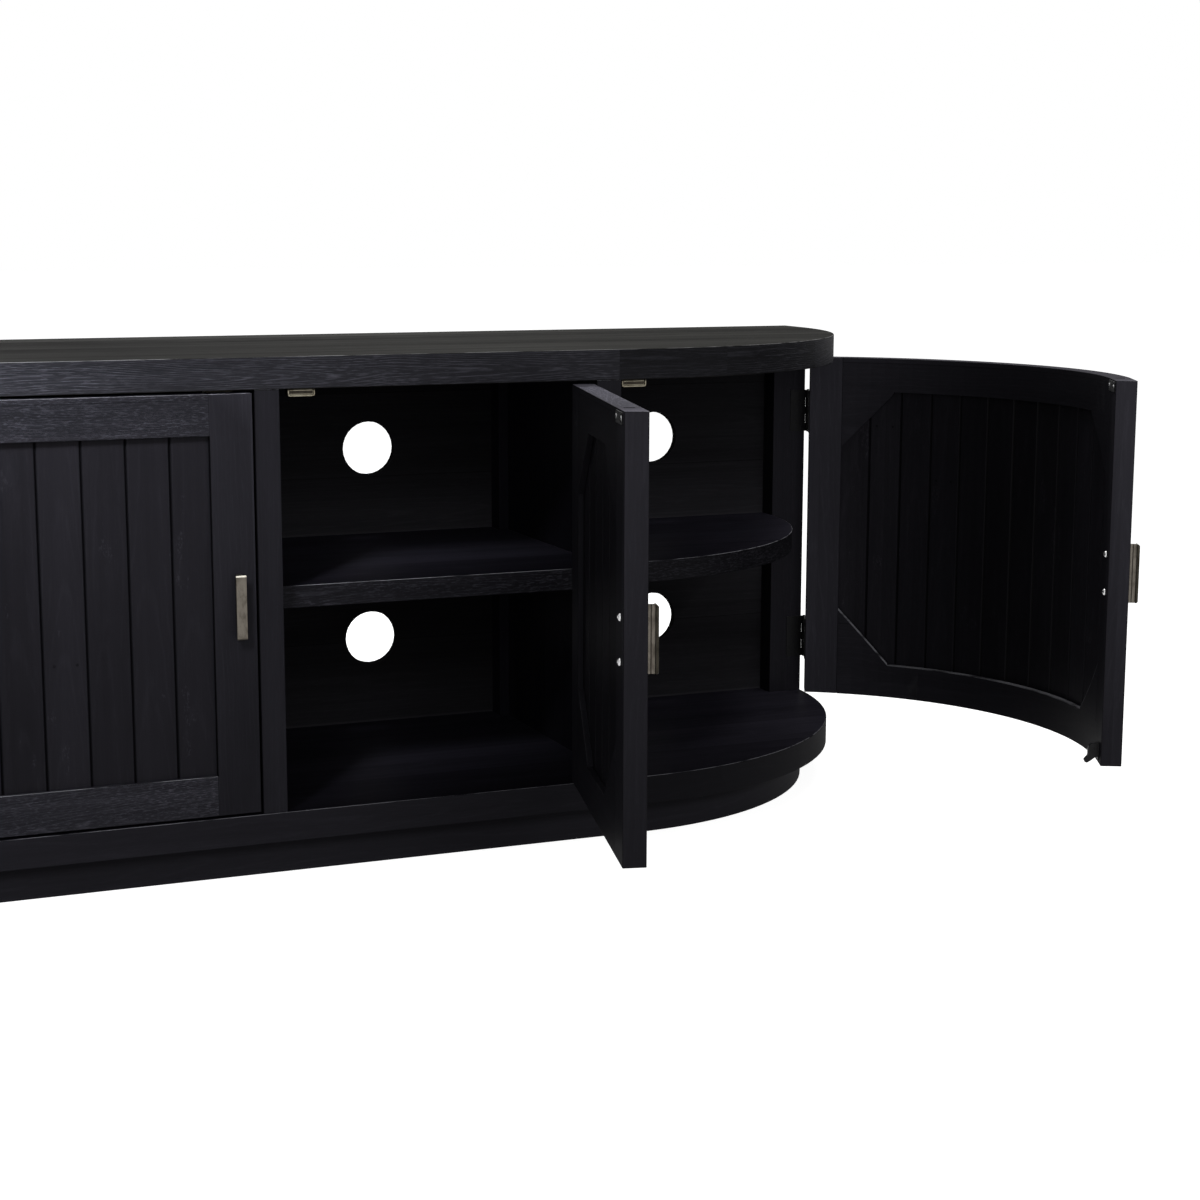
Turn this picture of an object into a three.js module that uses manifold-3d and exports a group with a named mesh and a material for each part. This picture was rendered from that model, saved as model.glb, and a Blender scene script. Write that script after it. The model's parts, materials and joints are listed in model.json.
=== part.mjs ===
// Media cabinet with rounded ends: a long low case of black-stained pine on a recessed plinth,
// with four compartments, two flat doors in the middle and a quarter-round door at each end.
// Millimetres, +Z up. The front faces -Y and +X is to the right of someone facing the cabinet.
// The origin is on the floor, under the middle of the case's width and depth.
// The doors are built closed and each is then turned about its hinge pins by its opening angle.
import * as THREE from "three";
import { mergeVertices } from "three/addons/utils/BufferGeometryUtils.js";
import Module from "manifold-3d";

const wasm = await Module();
wasm.setup();

// Case
const WIDTH = 1900; // over the rounded ends
const DEPTH = 490; // front edge to back edge of the top
const HEIGHT = 650;
const TOP_THICKNESS = 39;
const BOTTOM_THICKNESS = 38;
const PLINTH_HEIGHT = 49;
const PLINTH_RECESS = 38; // how far the plinth stands back under the bottom board
const PLINTH_WALL = 22;
const END_RADIUS = 446; // rounded end of the top and bottom boards
const CENTER_MULLION_WIDTH = 30;
const SIDE_MULLION_WIDTH = 33;
const MULLION_DEPTH = 48;
const FLAT_OPENING = 415; // clear width between two mullions
const PARTITION_THICKNESS = 14;
const CLEAT_WIDTH = 14; // rear corner cleat glued to a partition
const CLEAT_DEPTH = 32;
const BACK_THICKNESS = 12;
const BACK_OVERHANG = 28; // the top and bottom boards run this far past the back panel
const POST_WIDTH = 53;
const POST_DEPTH = 52;
const CABLE_HOLE_RADIUS = 38;
const CABLE_HOLE_INSET = 187; // from a compartment's outer end to the middle of its cable holes
const SHELF_THICKNESS = 28;
const SHELF_UNDERSIDE = 250; // height of the shelf's underside over the compartment floor
const SHELF_SETBACK = 1; // from a flat door's screw heads to the shelf's front edge
const END_SHELF_SETBACK = 25; // from a quarter-round door's inner face to the shelf's edge

// Doors
const DOOR_THICKNESS = 28;
const DOOR_INSET = 2; // door faces stand this far behind the edges of the top and bottom boards
const DOOR_TOP_GAP = 4;
const DOOR_BOTTOM_GAP = 3;
const DOOR_STOP_GAP = 2; // between the inner face of a closed door and what it stops against
const FREE_EDGE_GAP = 3; // between a door's free edge and its mullion
const STILE_WIDTH = 53;
const RAIL_WIDTH = 50;
const PANEL_THICKNESS = 12;
const PANEL_RECESS = 8; // outer face of the frame to the outer face of the planks
const PANEL_TONGUE = 6; // depth of the planks' edge in the frame's groove
const PLANK_WIDTH = 52.4;
const PLANK_GROOVE = 2.4; // depth and half width of the V between two planks
const GUSSET_LEG = 84; // triangular corner block inside the frame
const GUSSET_TIP = 3; // height left at the block's blunt tip
const FLAT_DOOR_OPEN = 76; // degrees, right flat door at rest
const ROUND_DOOR_OPEN = 63.7; // degrees, right quarter-round door at rest

// Hardware
const HANDLE_HEIGHT = 79;
const HANDLE_WIDTH = 13;
const HANDLE_PLATE = 3.5;
const HANDLE_WEB = 6;
const HANDLE_PROJECTION = 15;
const HANDLE_FROM_EDGE = 22; // free edge of the door to the middle of its handle
const HANDLE_CHAMFER = 1;
const HANDLE_RAISE = 1; // middle of the door's height up to the middle of its handle
const SCREW_SPACING = 51;
const SCREW_RADIUS = 2.2;
const SCREW_HEAD_RADIUS = 4.5;
const SCREW_HEAD_HEIGHT = 3;
const CATCH_WIDTH = 34;
const CATCH_HEIGHT = 12;
const CATCH_DEPTH = 14;
const CATCH_WALL = 1.6;
const CATCH_MOUTH = 3; // depth of the recess that shows the magnet
const CATCH_FROM_MULLION = 19; // centre mullion to the catch of a flat door
const HINGE_HEIGHT = 63;
const LEAF_WIDTH = 25;
const LEAF_THICKNESS = 1.3;
const LEAF_SPACE = 0.6; // between the two leaves of a closed hinge
const KNUCKLES = 5;
const KNUCKLE_RADIUS = 3.8;
const PIN_RADIUS = 1.7;
const PIN_PROUD = 4.5; // pin's axis in front of the door's outer face
const PIN_TIP = 1.2; // pin end past the last knuckle
const HINGE_FROM_EDGE = 83; // top or bottom of the door to the middle of the nearer hinge

const CLEARANCE = 0.3; // between pieces that are glued, slide or turn
const ARC_STEP = 3; // degrees per facet on rounded faces
const HOLE_FACETS = 28;
const SMALL_FACETS = 10;
const REACH = 5; // how far a cutting tool runs past what it cuts

// Places worked out from the sizes
const FRONT = -DEPTH / 2;
const BACK = DEPTH / 2;
const FLOOR_Z = PLINTH_HEIGHT + BOTTOM_THICKNESS;
const CEILING_Z = HEIGHT - TOP_THICKNESS;
const END_CENTER_X = WIDTH / 2 - END_RADIUS;
const END_CENTER_Y = FRONT + END_RADIUS;
const FACE_Y = FRONT + DOOR_INSET;
const FACE_RADIUS = END_RADIUS - DOOR_INSET;
const DOOR_INNER_Y = FACE_Y + DOOR_THICKNESS;
const SCREW_HEAD_Y = DOOR_INNER_Y + CLEARANCE;
const BACK_PANEL_Y = BACK - BACK_OVERHANG - BACK_THICKNESS;
const POST_FRONT_Y = BACK_PANEL_Y - CLEAT_DEPTH;
const POST_OUTER_X = WIDTH / 2 - DOOR_INSET;
const POST_INNER_X = POST_OUTER_X - POST_WIDTH;
const MULLION_INNER_X = CENTER_MULLION_WIDTH / 2 + FLAT_OPENING;
const MULLION_OUTER_X = MULLION_INNER_X + SIDE_MULLION_WIDTH;
const PARTITION_OUTER_X = MULLION_OUTER_X + PARTITION_THICKNESS;
const INNER_RADIUS = FACE_RADIUS - DOOR_THICKNESS;
const MULLION_BACK_Y = FACE_Y + MULLION_DEPTH;
const SHELF_BOTTOM_Z = FLOOR_Z + SHELF_UNDERSIDE;
const SHELF_TOP_Z = SHELF_BOTTOM_Z + SHELF_THICKNESS;
const HINGE_GAP = 2 * LEAF_THICKNESS + LEAF_SPACE + CLEARANCE;
const DOOR_BOTTOM_Z = FLOOR_Z + DOOR_BOTTOM_GAP;
const DOOR_TOP_Z = CEILING_Z - DOOR_TOP_GAP;
const HANDLE_Z = (DOOR_BOTTOM_Z + DOOR_TOP_Z) / 2 + HANDLE_RAISE;
const PANEL_BACK = PANEL_RECESS + PANEL_THICKNESS;
const GROOVE_DEPTH = PANEL_TONGUE + CLEARANCE;

const radians = THREE.MathUtils.degToRad;

// Materials
const stainedPine = { color: 0x1d1d21, roughness: 0.55, metalness: 0 };
const blackIron = { color: 0x141416, roughness: 0.5, metalness: 0.6 };
const agedBrass = { color: 0x9a8f80, roughness: 0.4, metalness: 1 };
const paleBrass = { color: 0xb9a36a, roughness: 0.35, metalness: 1 };

// A closed three.js geometry as a solid that can be joined and cut.
function solid(geometry) {
  const bare = geometry.index ? geometry.toNonIndexed() : geometry.clone();
  bare.deleteAttribute("normal");
  bare.deleteAttribute("uv");
  const merged = mergeVertices(bare, 1e-4);
  return new wasm.Manifold(
    new wasm.Mesh({
      numProp: 3,
      vertProperties: merged.attributes.position.array,
      triVerts: new Uint32Array(merged.index.array),
    }),
  );
}

// A solid back as three.js geometry.
function geometryOf(shape) {
  const mesh = shape.getMesh();
  const geometry = new THREE.BufferGeometry();
  geometry.setAttribute("position", new THREE.BufferAttribute(mesh.vertProperties, 3));
  geometry.setIndex(new THREE.BufferAttribute(mesh.triVerts, 1));
  const flat = geometry.toNonIndexed();
  flat.computeVertexNormals();
  return flat;
}

// A plan outline raised from one height to another.
function prism(outline, bottom, top) {
  const shape = new THREE.Shape(outline.map(([x, y]) => new THREE.Vector2(x, y)));
  const geometry = new THREE.ExtrudeGeometry(shape, { depth: top - bottom, bevelEnabled: false });
  return solid(geometry.translate(0, 0, bottom));
}

// A round bar along Y, from y0 to y1.
function barAlongY(x, z, radius, y0, y1, facets) {
  const geometry = new THREE.CylinderGeometry(radius, radius, y1 - y0, facets);
  return solid(geometry.translate(x, (y0 + y1) / 2, z));
}

// A round bar along Z, from z0 to z1.
function barAlongZ(x, y, radius, z0, z1) {
  const geometry = new THREE.CylinderGeometry(radius, radius, z1 - z0, SMALL_FACETS);
  return solid(geometry.rotateX(Math.PI / 2).translate(x, y, (z0 + z1) / 2));
}

function piece(name, look, shape) {
  const mesh = new THREE.Mesh(geometryOf(shape), new THREE.MeshStandardMaterial(look));
  mesh.name = name;
  return mesh;
}

// Points of an arc about a rounded end's centre, on the right-hand side of the cabinet.
function endArc(radius, from, to) {
  const steps = Math.max(1, Math.round(Math.abs(to - from) / ARC_STEP));
  const points = [];
  for (let i = 0; i <= steps; i += 1) {
    const angle = radians(from + ((to - from) * i) / steps);
    const x = END_CENTER_X + radius * Math.cos(angle);
    points.push([x, END_CENTER_Y + radius * Math.sin(angle)]);
  }
  return points;
}

// Degrees at which an arc of that radius starts when nothing of it may lie left of x.
function startAngle(x, radius) {
  return -THREE.MathUtils.radToDeg(Math.acos(Math.max(0, (x - END_CENTER_X) / radius)));
}

// y on the front of an arc of that radius, where it stands over x; straight left of the centre.
function frontOfArc(x, radius) {
  return END_CENTER_Y - Math.sqrt(radius ** 2 - Math.max(0, x - END_CENTER_X) ** 2);
}

// side is 1 on the right of the cabinet and -1 on the left, where every outline is mirrored.
const mirrored = (points, side) => points.map(([x, y]) => [side * x, y]);

// The case's rounded right end, drawn in by an inset: the arc, then straight on to the back.
function rightEnd(inset) {
  const radius = END_RADIUS - inset;
  const backY = BACK - inset;
  if (backY > END_CENTER_Y) return [...endArc(radius, -90, 0), [END_CENTER_X + radius, backY]];
  return endArc(radius, -90, THREE.MathUtils.radToDeg(Math.asin((backY - END_CENTER_Y) / radius)));
}

// The plan outline of the case, drawn in by an inset all round.
function caseOutline(inset) {
  const right = rightEnd(inset);
  return [...right, ...mirrored(right, -1).reverse()];
}

const cabinet = new THREE.Group();
const sides = [
  ["right", 1],
  ["left", -1],
];

// Top and bottom boards
cabinet.add(piece("top_board", stainedPine, prism(caseOutline(0), CEILING_Z, HEIGHT)));
cabinet.add(piece("bottom_board", stainedPine, prism(caseOutline(0), PLINTH_HEIGHT, FLOOR_Z)));

// Plinth: a ring under the bottom board with one cross rail under the middle mullion
function plinthHollow(side) {
  const inset = PLINTH_RECESS + PLINTH_WALL;
  const outline = [
    [PLINTH_WALL, FRONT + inset],
    ...rightEnd(inset),
    [PLINTH_WALL, BACK - inset],
  ];
  return mirrored(outline, side);
}
let plinth = prism(caseOutline(PLINTH_RECESS), 0, PLINTH_HEIGHT);
for (const [, side] of sides) {
  plinth = plinth.subtract(prism(plinthHollow(side), -REACH, PLINTH_HEIGHT + REACH));
}
cabinet.add(piece("plinth_frame", stainedPine, plinth));

// Uprights between the compartments
function upright(outline) {
  return prism(outline, FLOOR_Z, CEILING_Z);
}

const rectangle = (x0, x1, y0, y1) => [
  [x0, y0],
  [x1, y0],
  [x1, y1],
  [x0, y1],
];

const centerHalf = CENTER_MULLION_WIDTH / 2;
const centerMullion = upright(rectangle(-centerHalf, centerHalf, FACE_Y, MULLION_BACK_Y));
cabinet.add(piece("center_mullion", stainedPine, centerMullion));

const partitionHalf = PARTITION_THICKNESS / 2;
const cleatReach = partitionHalf + CLEAT_WIDTH;
const centerPartition = upright([
  [-partitionHalf, MULLION_BACK_Y],
  [partitionHalf, MULLION_BACK_Y],
  [partitionHalf, POST_FRONT_Y],
  [cleatReach, POST_FRONT_Y],
  [cleatReach, BACK_PANEL_Y],
  [-cleatReach, BACK_PANEL_Y],
  [-cleatReach, POST_FRONT_Y],
  [-partitionHalf, POST_FRONT_Y],
]);
cabinet.add(piece("center_partition", stainedPine, centerPartition));

for (const [name, side] of sides) {
  const mullion = rectangle(MULLION_INNER_X, MULLION_OUTER_X, FACE_Y, MULLION_BACK_Y);
  cabinet.add(piece(`${name}_mullion`, stainedPine, upright(mirrored(mullion, side))));

  const partitionFront = frontOfArc(PARTITION_OUTER_X, INNER_RADIUS) + DOOR_STOP_GAP;
  const partition = [
    [MULLION_OUTER_X, partitionFront],
    [PARTITION_OUTER_X, partitionFront],
    [PARTITION_OUTER_X, BACK_PANEL_Y],
    [MULLION_OUTER_X - CLEAT_WIDTH, BACK_PANEL_Y],
    [MULLION_OUTER_X - CLEAT_WIDTH, POST_FRONT_Y],
    [MULLION_OUTER_X, POST_FRONT_Y],
  ];
  cabinet.add(piece(`${name}_partition`, stainedPine, upright(mirrored(partition, side))));

  const post = rectangle(POST_INNER_X, POST_OUTER_X, POST_FRONT_Y, POST_FRONT_Y + POST_DEPTH);
  cabinet.add(piece(`${name}_rear_post`, stainedPine, upright(mirrored(post, side))));
}

// Back panel, fitted between the rear posts, with a cable hole over and under each shelf
const upperHoleZ = (SHELF_TOP_Z + CEILING_Z) / 2;
const lowerHoleZ = (FLOOR_Z + SHELF_BOTTOM_Z) / 2;
const panelHalf = POST_INNER_X - CLEARANCE;
const backPanelPlan = rectangle(-panelHalf, panelHalf, BACK_PANEL_Y, BACK_PANEL_Y + BACK_THICKNESS);
let backPanel = upright(backPanelPlan);
for (const [, side] of sides) {
  for (const outerEnd of [MULLION_OUTER_X - CLEAT_WIDTH, POST_INNER_X]) {
    for (const z of [lowerHoleZ, upperHoleZ]) {
      const x = side * (outerEnd - CABLE_HOLE_INSET);
      const y0 = BACK_PANEL_Y - REACH;
      const y1 = BACK_PANEL_Y + BACK_THICKNESS + REACH;
      backPanel = backPanel.subtract(barAlongY(x, z, CABLE_HOLE_RADIUS, y0, y1, HOLE_FACETS));
    }
  }
}
cabinet.add(piece("back_panel", stainedPine, backPanel));

// Shelves, notched round the mullions, the rear cleats and the rear posts
const shelfFrontY = SCREW_HEAD_Y + SCREW_HEAD_HEIGHT + SHELF_SETBACK;
const shelfBackY = BACK_PANEL_Y - CLEARANCE;

function centerShelf() {
  return [
    [centerHalf + CLEARANCE, shelfFrontY],
    [MULLION_INNER_X - CLEARANCE, shelfFrontY],
    [MULLION_INNER_X - CLEARANCE, MULLION_BACK_Y + CLEARANCE],
    [MULLION_OUTER_X - CLEARANCE, MULLION_BACK_Y + CLEARANCE],
    [MULLION_OUTER_X - CLEARANCE, POST_FRONT_Y - CLEARANCE],
    [MULLION_OUTER_X - CLEAT_WIDTH - CLEARANCE, POST_FRONT_Y - CLEARANCE],
    [MULLION_OUTER_X - CLEAT_WIDTH - CLEARANCE, shelfBackY],
    [cleatReach + CLEARANCE, shelfBackY],
    [cleatReach + CLEARANCE, POST_FRONT_Y - CLEARANCE],
    [partitionHalf + CLEARANCE, POST_FRONT_Y - CLEARANCE],
    [partitionHalf + CLEARANCE, MULLION_BACK_Y + CLEARANCE],
    [centerHalf + CLEARANCE, MULLION_BACK_Y + CLEARANCE],
  ];
}

function endShelf() {
  const radius = INNER_RADIUS - END_SHELF_SETBACK;
  const x = PARTITION_OUTER_X + CLEARANCE;
  const lastAngle = THREE.MathUtils.radToDeg(Math.asin((shelfBackY - END_CENTER_Y) / radius));
  const arc = endArc(radius, startAngle(x, radius), lastAngle);
  const front = x < END_CENTER_X ? [[x, END_CENTER_Y - radius]] : [];
  return [...front, ...arc, [x, shelfBackY]];
}

for (const [name, side] of sides) {
  const middle = prism(mirrored(centerShelf(), side), SHELF_BOTTOM_Z, SHELF_TOP_Z);
  cabinet.add(piece(`${name}_center_shelf`, stainedPine, middle));
  const end = prism(mirrored(endShelf(), side), SHELF_BOTTOM_Z, SHELF_TOP_Z);
  const post = rectangle(POST_INNER_X - CLEARANCE, POST_OUTER_X, POST_FRONT_Y - CLEARANCE, BACK);
  const postRoom = upright(mirrored(post, side));
  cabinet.add(piece(`${name}_end_shelf`, stainedPine, end.subtract(postRoom)));
}

// Magnetic catch under the top, close behind the free edge of its door
function magneticCatch(door, side) {
  const x0 = door.catchX;
  const x1 = x0 + CATCH_WIDTH;
  const y0 = door.innerY(x1) + DOOR_STOP_GAP;
  const z0 = CEILING_Z - CATCH_HEIGHT;
  const body = prism(mirrored(rectangle(x0, x1, y0, y0 + CATCH_DEPTH), side), z0, CEILING_Z);
  const mouth = rectangle(x0 + CATCH_WALL, x1 - CATCH_WALL, y0 - REACH, y0 + CATCH_MOUTH);
  return body.subtract(prism(mirrored(mouth, side), z0 + CATCH_WALL, CEILING_Z - CATCH_WALL));
}

// A door leaf is drawn unrolled: s runs along its outer face from the free edge to the hinge
// edge, and depth runs from the outer face into the cabinet. place(s, depth) gives the plan point.
const flatDoor = {
  freeX: centerHalf + FREE_EDGE_GAP,
  catchX: centerHalf + CATCH_FROM_MULLION,
  length: FLAT_OPENING - FREE_EDGE_GAP - HINGE_GAP,
  pin: [MULLION_INNER_X - HINGE_GAP / 2, FACE_Y - PIN_PROUD],
  toDoor: [-1, 0],
  inward: [0, 1],
  outerY: () => FACE_Y,
  innerY: () => DOOR_INNER_Y,
  place(s, depth) {
    return [this.freeX + s, FACE_Y + depth];
  },
};

const roundFreeX = MULLION_OUTER_X + FREE_EDGE_GAP;
const roundStraight = Math.max(0, END_CENTER_X - roundFreeX);
const roundHingeY = POST_FRONT_Y - HINGE_GAP;
const freeEdgeAngle = (radius) => radians(startAngle(roundFreeX, radius));
const hingeEdgeAngle = (radius) => Math.asin((roundHingeY - END_CENTER_Y) / radius);
const roundBend = hingeEdgeAngle(FACE_RADIUS) - freeEdgeAngle(FACE_RADIUS);
const roundDoor = {
  freeX: roundFreeX,
  catchX: PARTITION_OUTER_X + CLEARANCE,
  length: roundStraight + FACE_RADIUS * roundBend,
  pin: [POST_OUTER_X + PIN_PROUD, POST_FRONT_Y - HINGE_GAP / 2],
  toDoor: [0, -1],
  inward: [-1, 0],
  outerY: (x) => frontOfArc(x, FACE_RADIUS),
  innerY: (x) => frontOfArc(x, INNER_RADIUS),
  place(s, depth) {
    if (s < roundStraight) return [this.freeX + s, FACE_Y + depth];
    const radius = FACE_RADIUS - depth;
    const share = (s - roundStraight) / (this.length - roundStraight);
    const from = freeEdgeAngle(radius);
    const angle = from + share * (hingeEdgeAngle(radius) - from);
    return [END_CENTER_X + radius * Math.cos(angle), END_CENTER_Y + radius * Math.sin(angle)];
  },
};

// Stations between two places on the face, so that a bent piece follows the curve.
function stations(from, to) {
  const stops = [from, roundStraight, to].sort((a, b) => a - b);
  const list = [];
  for (let i = 0; i + 1 < stops.length; i += 1) {
    const [a, b] = [stops[i], stops[i + 1]];
    if (a < Math.min(from, to) || b > Math.max(from, to) || b - a < CLEARANCE) continue;
    const bend = a >= roundStraight ? (b - a) / FACE_RADIUS : 0;
    const steps = Math.max(1, Math.ceil(bend / radians(ARC_STEP)));
    for (let k = 0; k < steps; k += 1) list.push(a + ((b - a) * k) / steps);
  }
  list.push(Math.max(from, to));
  return from <= to ? list : list.reverse();
}

// An unrolled outline of [s, depth] corners, followed along the door's face.
function traced(door, corners) {
  const points = [];
  corners.forEach(([s, depth], i) => {
    const [nextS, nextDepth] = corners[(i + 1) % corners.length];
    const bends = door === roundDoor && nextDepth === depth && nextS !== s;
    const stops = bends ? stations(s, nextS).slice(0, -1) : [s];
    for (const stop of stops) points.push(door.place(stop, depth));
  });
  return points;
}

// A straight or bent bar of a door leaf, between two stations, two depths and two heights.
function strip(door, side, [s0, s1], [near, far], heights) {
  const corners = [
    [s0, near],
    [s1, near],
    [s1, far],
    [s0, far],
  ];
  return prism(mirrored(traced(door, corners), side), Math.min(...heights), Math.max(...heights));
}

// A stile with a groove for the planks on its inner edge at s1; s0 is its outer edge.
function stile(door, side, s0, s1) {
  const grooveEnd = s1 + Math.sign(s0 - s1) * GROOVE_DEPTH;
  const corners = [
    [s0, 0],
    [s1, 0],
    [s1, PANEL_RECESS - CLEARANCE],
    [grooveEnd, PANEL_RECESS - CLEARANCE],
    [grooveEnd, PANEL_BACK + CLEARANCE],
    [s1, PANEL_BACK + CLEARANCE],
    [s1, DOOR_THICKNESS],
    [s0, DOOR_THICKNESS],
  ];
  return prism(mirrored(traced(door, corners), side), DOOR_BOTTOM_Z, DOOR_TOP_Z);
}

// Triangular corner block behind the planks. It starts on the rail at railZ, beside the stile at
// s0, and runs down to a blunt tip at s1; up is 1 over a bottom rail and -1 under a top rail.
function gusset(door, side, s0, s1, railZ, up) {
  const near = PANEL_BACK + CLEARANCE;
  const stops = door === roundDoor ? stations(s0, s1) : [s0, s1];
  const rings = stops.map((s) => {
    const height = GUSSET_LEG - ((GUSSET_LEG - GUSSET_TIP) * Math.abs(s - s0)) / Math.abs(s1 - s0);
    const low = railZ - up * REACH;
    const high = railZ + up * height;
    const plan = [door.place(s, near), door.place(s, DOOR_THICKNESS)];
    const [outerPoint, innerPoint] = mirrored(plan, side);
    return [
      [...outerPoint, low],
      [...innerPoint, low],
      [...innerPoint, high],
      [...outerPoint, high],
    ];
  });
  return loft(rings);
}

// A closed solid through four-cornered rings.
function loft(rings) {
  const corners = rings[0].length;
  const triangles = [];
  const quad = (a, b, c, d) => triangles.push(a, b, c, a, c, d);
  for (let i = 0; i + 1 < rings.length; i += 1) {
    for (let k = 0; k < corners; k += 1) {
      const next = (k + 1) % corners;
      quad(rings[i][k], rings[i][next], rings[i + 1][next], rings[i + 1][k]);
    }
  }
  const last = rings[rings.length - 1];
  quad(rings[0][3], rings[0][2], rings[0][1], rings[0][0]);
  quad(last[0], last[1], last[2], last[3]);
  const geometry = new THREE.BufferGeometry();
  geometry.setAttribute("position", new THREE.Float32BufferAttribute(triangles.flat(), 3));
  const made = solid(geometry);
  if (made.volume() > 0) return made;
  const turned = [];
  for (let i = 0; i < triangles.length; i += 3) {
    turned.push(triangles[i], triangles[i + 2], triangles[i + 1]);
  }
  geometry.setAttribute("position", new THREE.Float32BufferAttribute(turned.flat(), 3));
  return solid(geometry);
}

// A rail between the stiles, grooved for the planks, with a corner block at each end.
function rail(door, side, up) {
  const s0 = STILE_WIDTH + CLEARANCE;
  const s1 = door.length - STILE_WIDTH - CLEARANCE;
  const outerZ = up > 0 ? DOOR_BOTTOM_Z : DOOR_TOP_Z;
  const innerZ = outerZ + up * RAIL_WIDTH;
  const body = strip(door, side, [s0, s1], [0, DOOR_THICKNESS], [outerZ, innerZ]);
  const groove = strip(
    door,
    side,
    [s0 - REACH, s1 + REACH],
    [PANEL_RECESS - CLEARANCE, PANEL_BACK + CLEARANCE],
    [innerZ - up * GROOVE_DEPTH, innerZ + up * REACH],
  );
  return body
    .subtract(groove)
    .add(gusset(door, side, s0, s0 + GUSSET_LEG, innerZ, up))
    .add(gusset(door, side, s1, s1 - GUSSET_LEG, innerZ, up));
}

// Tongue-and-groove planks, drawn as one panel with a V on both faces at each joint.
function plankPanel(door, side) {
  const s0 = STILE_WIDTH - PANEL_TONGUE;
  const s1 = door.length - STILE_WIDTH + PANEL_TONGUE;
  const count = Math.round((s1 - s0) / PLANK_WIDTH);
  const joints = [];
  for (let i = 1; i < count; i += 1) joints.push(s0 + ((s1 - s0) * i) / count);
  const outer = [];
  const inner = [];
  const groove = (s, depth, bottom) => [
    [s - PLANK_GROOVE, depth],
    [s, bottom],
    [s + PLANK_GROOVE, depth],
  ];
  for (const s of joints) {
    outer.push(...groove(s, PANEL_RECESS, PANEL_RECESS + PLANK_GROOVE));
    inner.push(...groove(s, PANEL_BACK, PANEL_BACK - PLANK_GROOVE));
  }
  const corners = [
    [s0, PANEL_RECESS],
    ...outer,
    [s1, PANEL_RECESS],
    [s1, PANEL_BACK],
    ...inner.reverse(),
    [s0, PANEL_BACK],
  ];
  const reach = RAIL_WIDTH - PANEL_TONGUE;
  return prism(mirrored(traced(door, corners), side), DOOR_BOTTOM_Z + reach, DOOR_TOP_Z - reach);
}

const screwHeights = [HANDLE_Z - SCREW_SPACING / 2, HANDLE_Z + SCREW_SPACING / 2];

// Where a door's handle stands: its middle, the face under its web and the seat of its screw heads.
function handleSeat(door) {
  const middleX = door.freeX + HANDLE_FROM_EDGE;
  return {
    middleX,
    faceY: door.outerY(middleX - HANDLE_WEB / 2),
    headY: door.innerY(middleX + SCREW_HEAD_RADIUS) + CLEARANCE,
  };
}

// Bar pull with its two screws, which come through the stile from inside.
function handle(door, side) {
  const { middleX, faceY, headY } = handleSeat(door);
  const x = side * middleX;
  const frontY = faceY - HANDLE_PROJECTION;
  const plateY = frontY + HANDLE_PLATE;
  const half = HANDLE_WIDTH / 2;
  const web = HANDLE_WEB / 2;
  const section = [
    [x - half + HANDLE_CHAMFER, frontY],
    [x + half - HANDLE_CHAMFER, frontY],
    [x + half, frontY + HANDLE_CHAMFER],
    [x + half, plateY],
    [x + web, plateY],
    [x + web, faceY - CLEARANCE],
    [x - web, faceY - CLEARANCE],
    [x - web, plateY],
    [x - half, plateY],
    [x - half, frontY + HANDLE_CHAMFER],
  ];
  let shape = prism(section, HANDLE_Z - HANDLE_HEIGHT / 2, HANDLE_Z + HANDLE_HEIGHT / 2);
  const headEnd = headY + SCREW_HEAD_HEIGHT;
  for (const z of screwHeights) {
    shape = shape
      .add(barAlongY(x, z, SCREW_RADIUS, plateY, headEnd - CLEARANCE, SMALL_FACETS))
      .add(barAlongY(x, z, SCREW_HEAD_RADIUS, headY, headEnd, SMALL_FACETS));
  }
  return shape;
}

// The stile at the free edge, drilled for the handle's screws.
function freeStile(door, side) {
  let shape = stile(door, side, 0, STILE_WIDTH);
  const { middleX, faceY, headY } = handleSeat(door);
  const hole = SCREW_RADIUS + CLEARANCE;
  for (const z of screwHeights) {
    const bar = barAlongY(side * middleX, z, hole, faceY - REACH, headY + REACH, SMALL_FACETS);
    shape = shape.subtract(bar);
  }
  return shape;
}

function hingeStile(door, side) {
  return stile(door, side, door.length, door.length - STILE_WIDTH);
}

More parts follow.
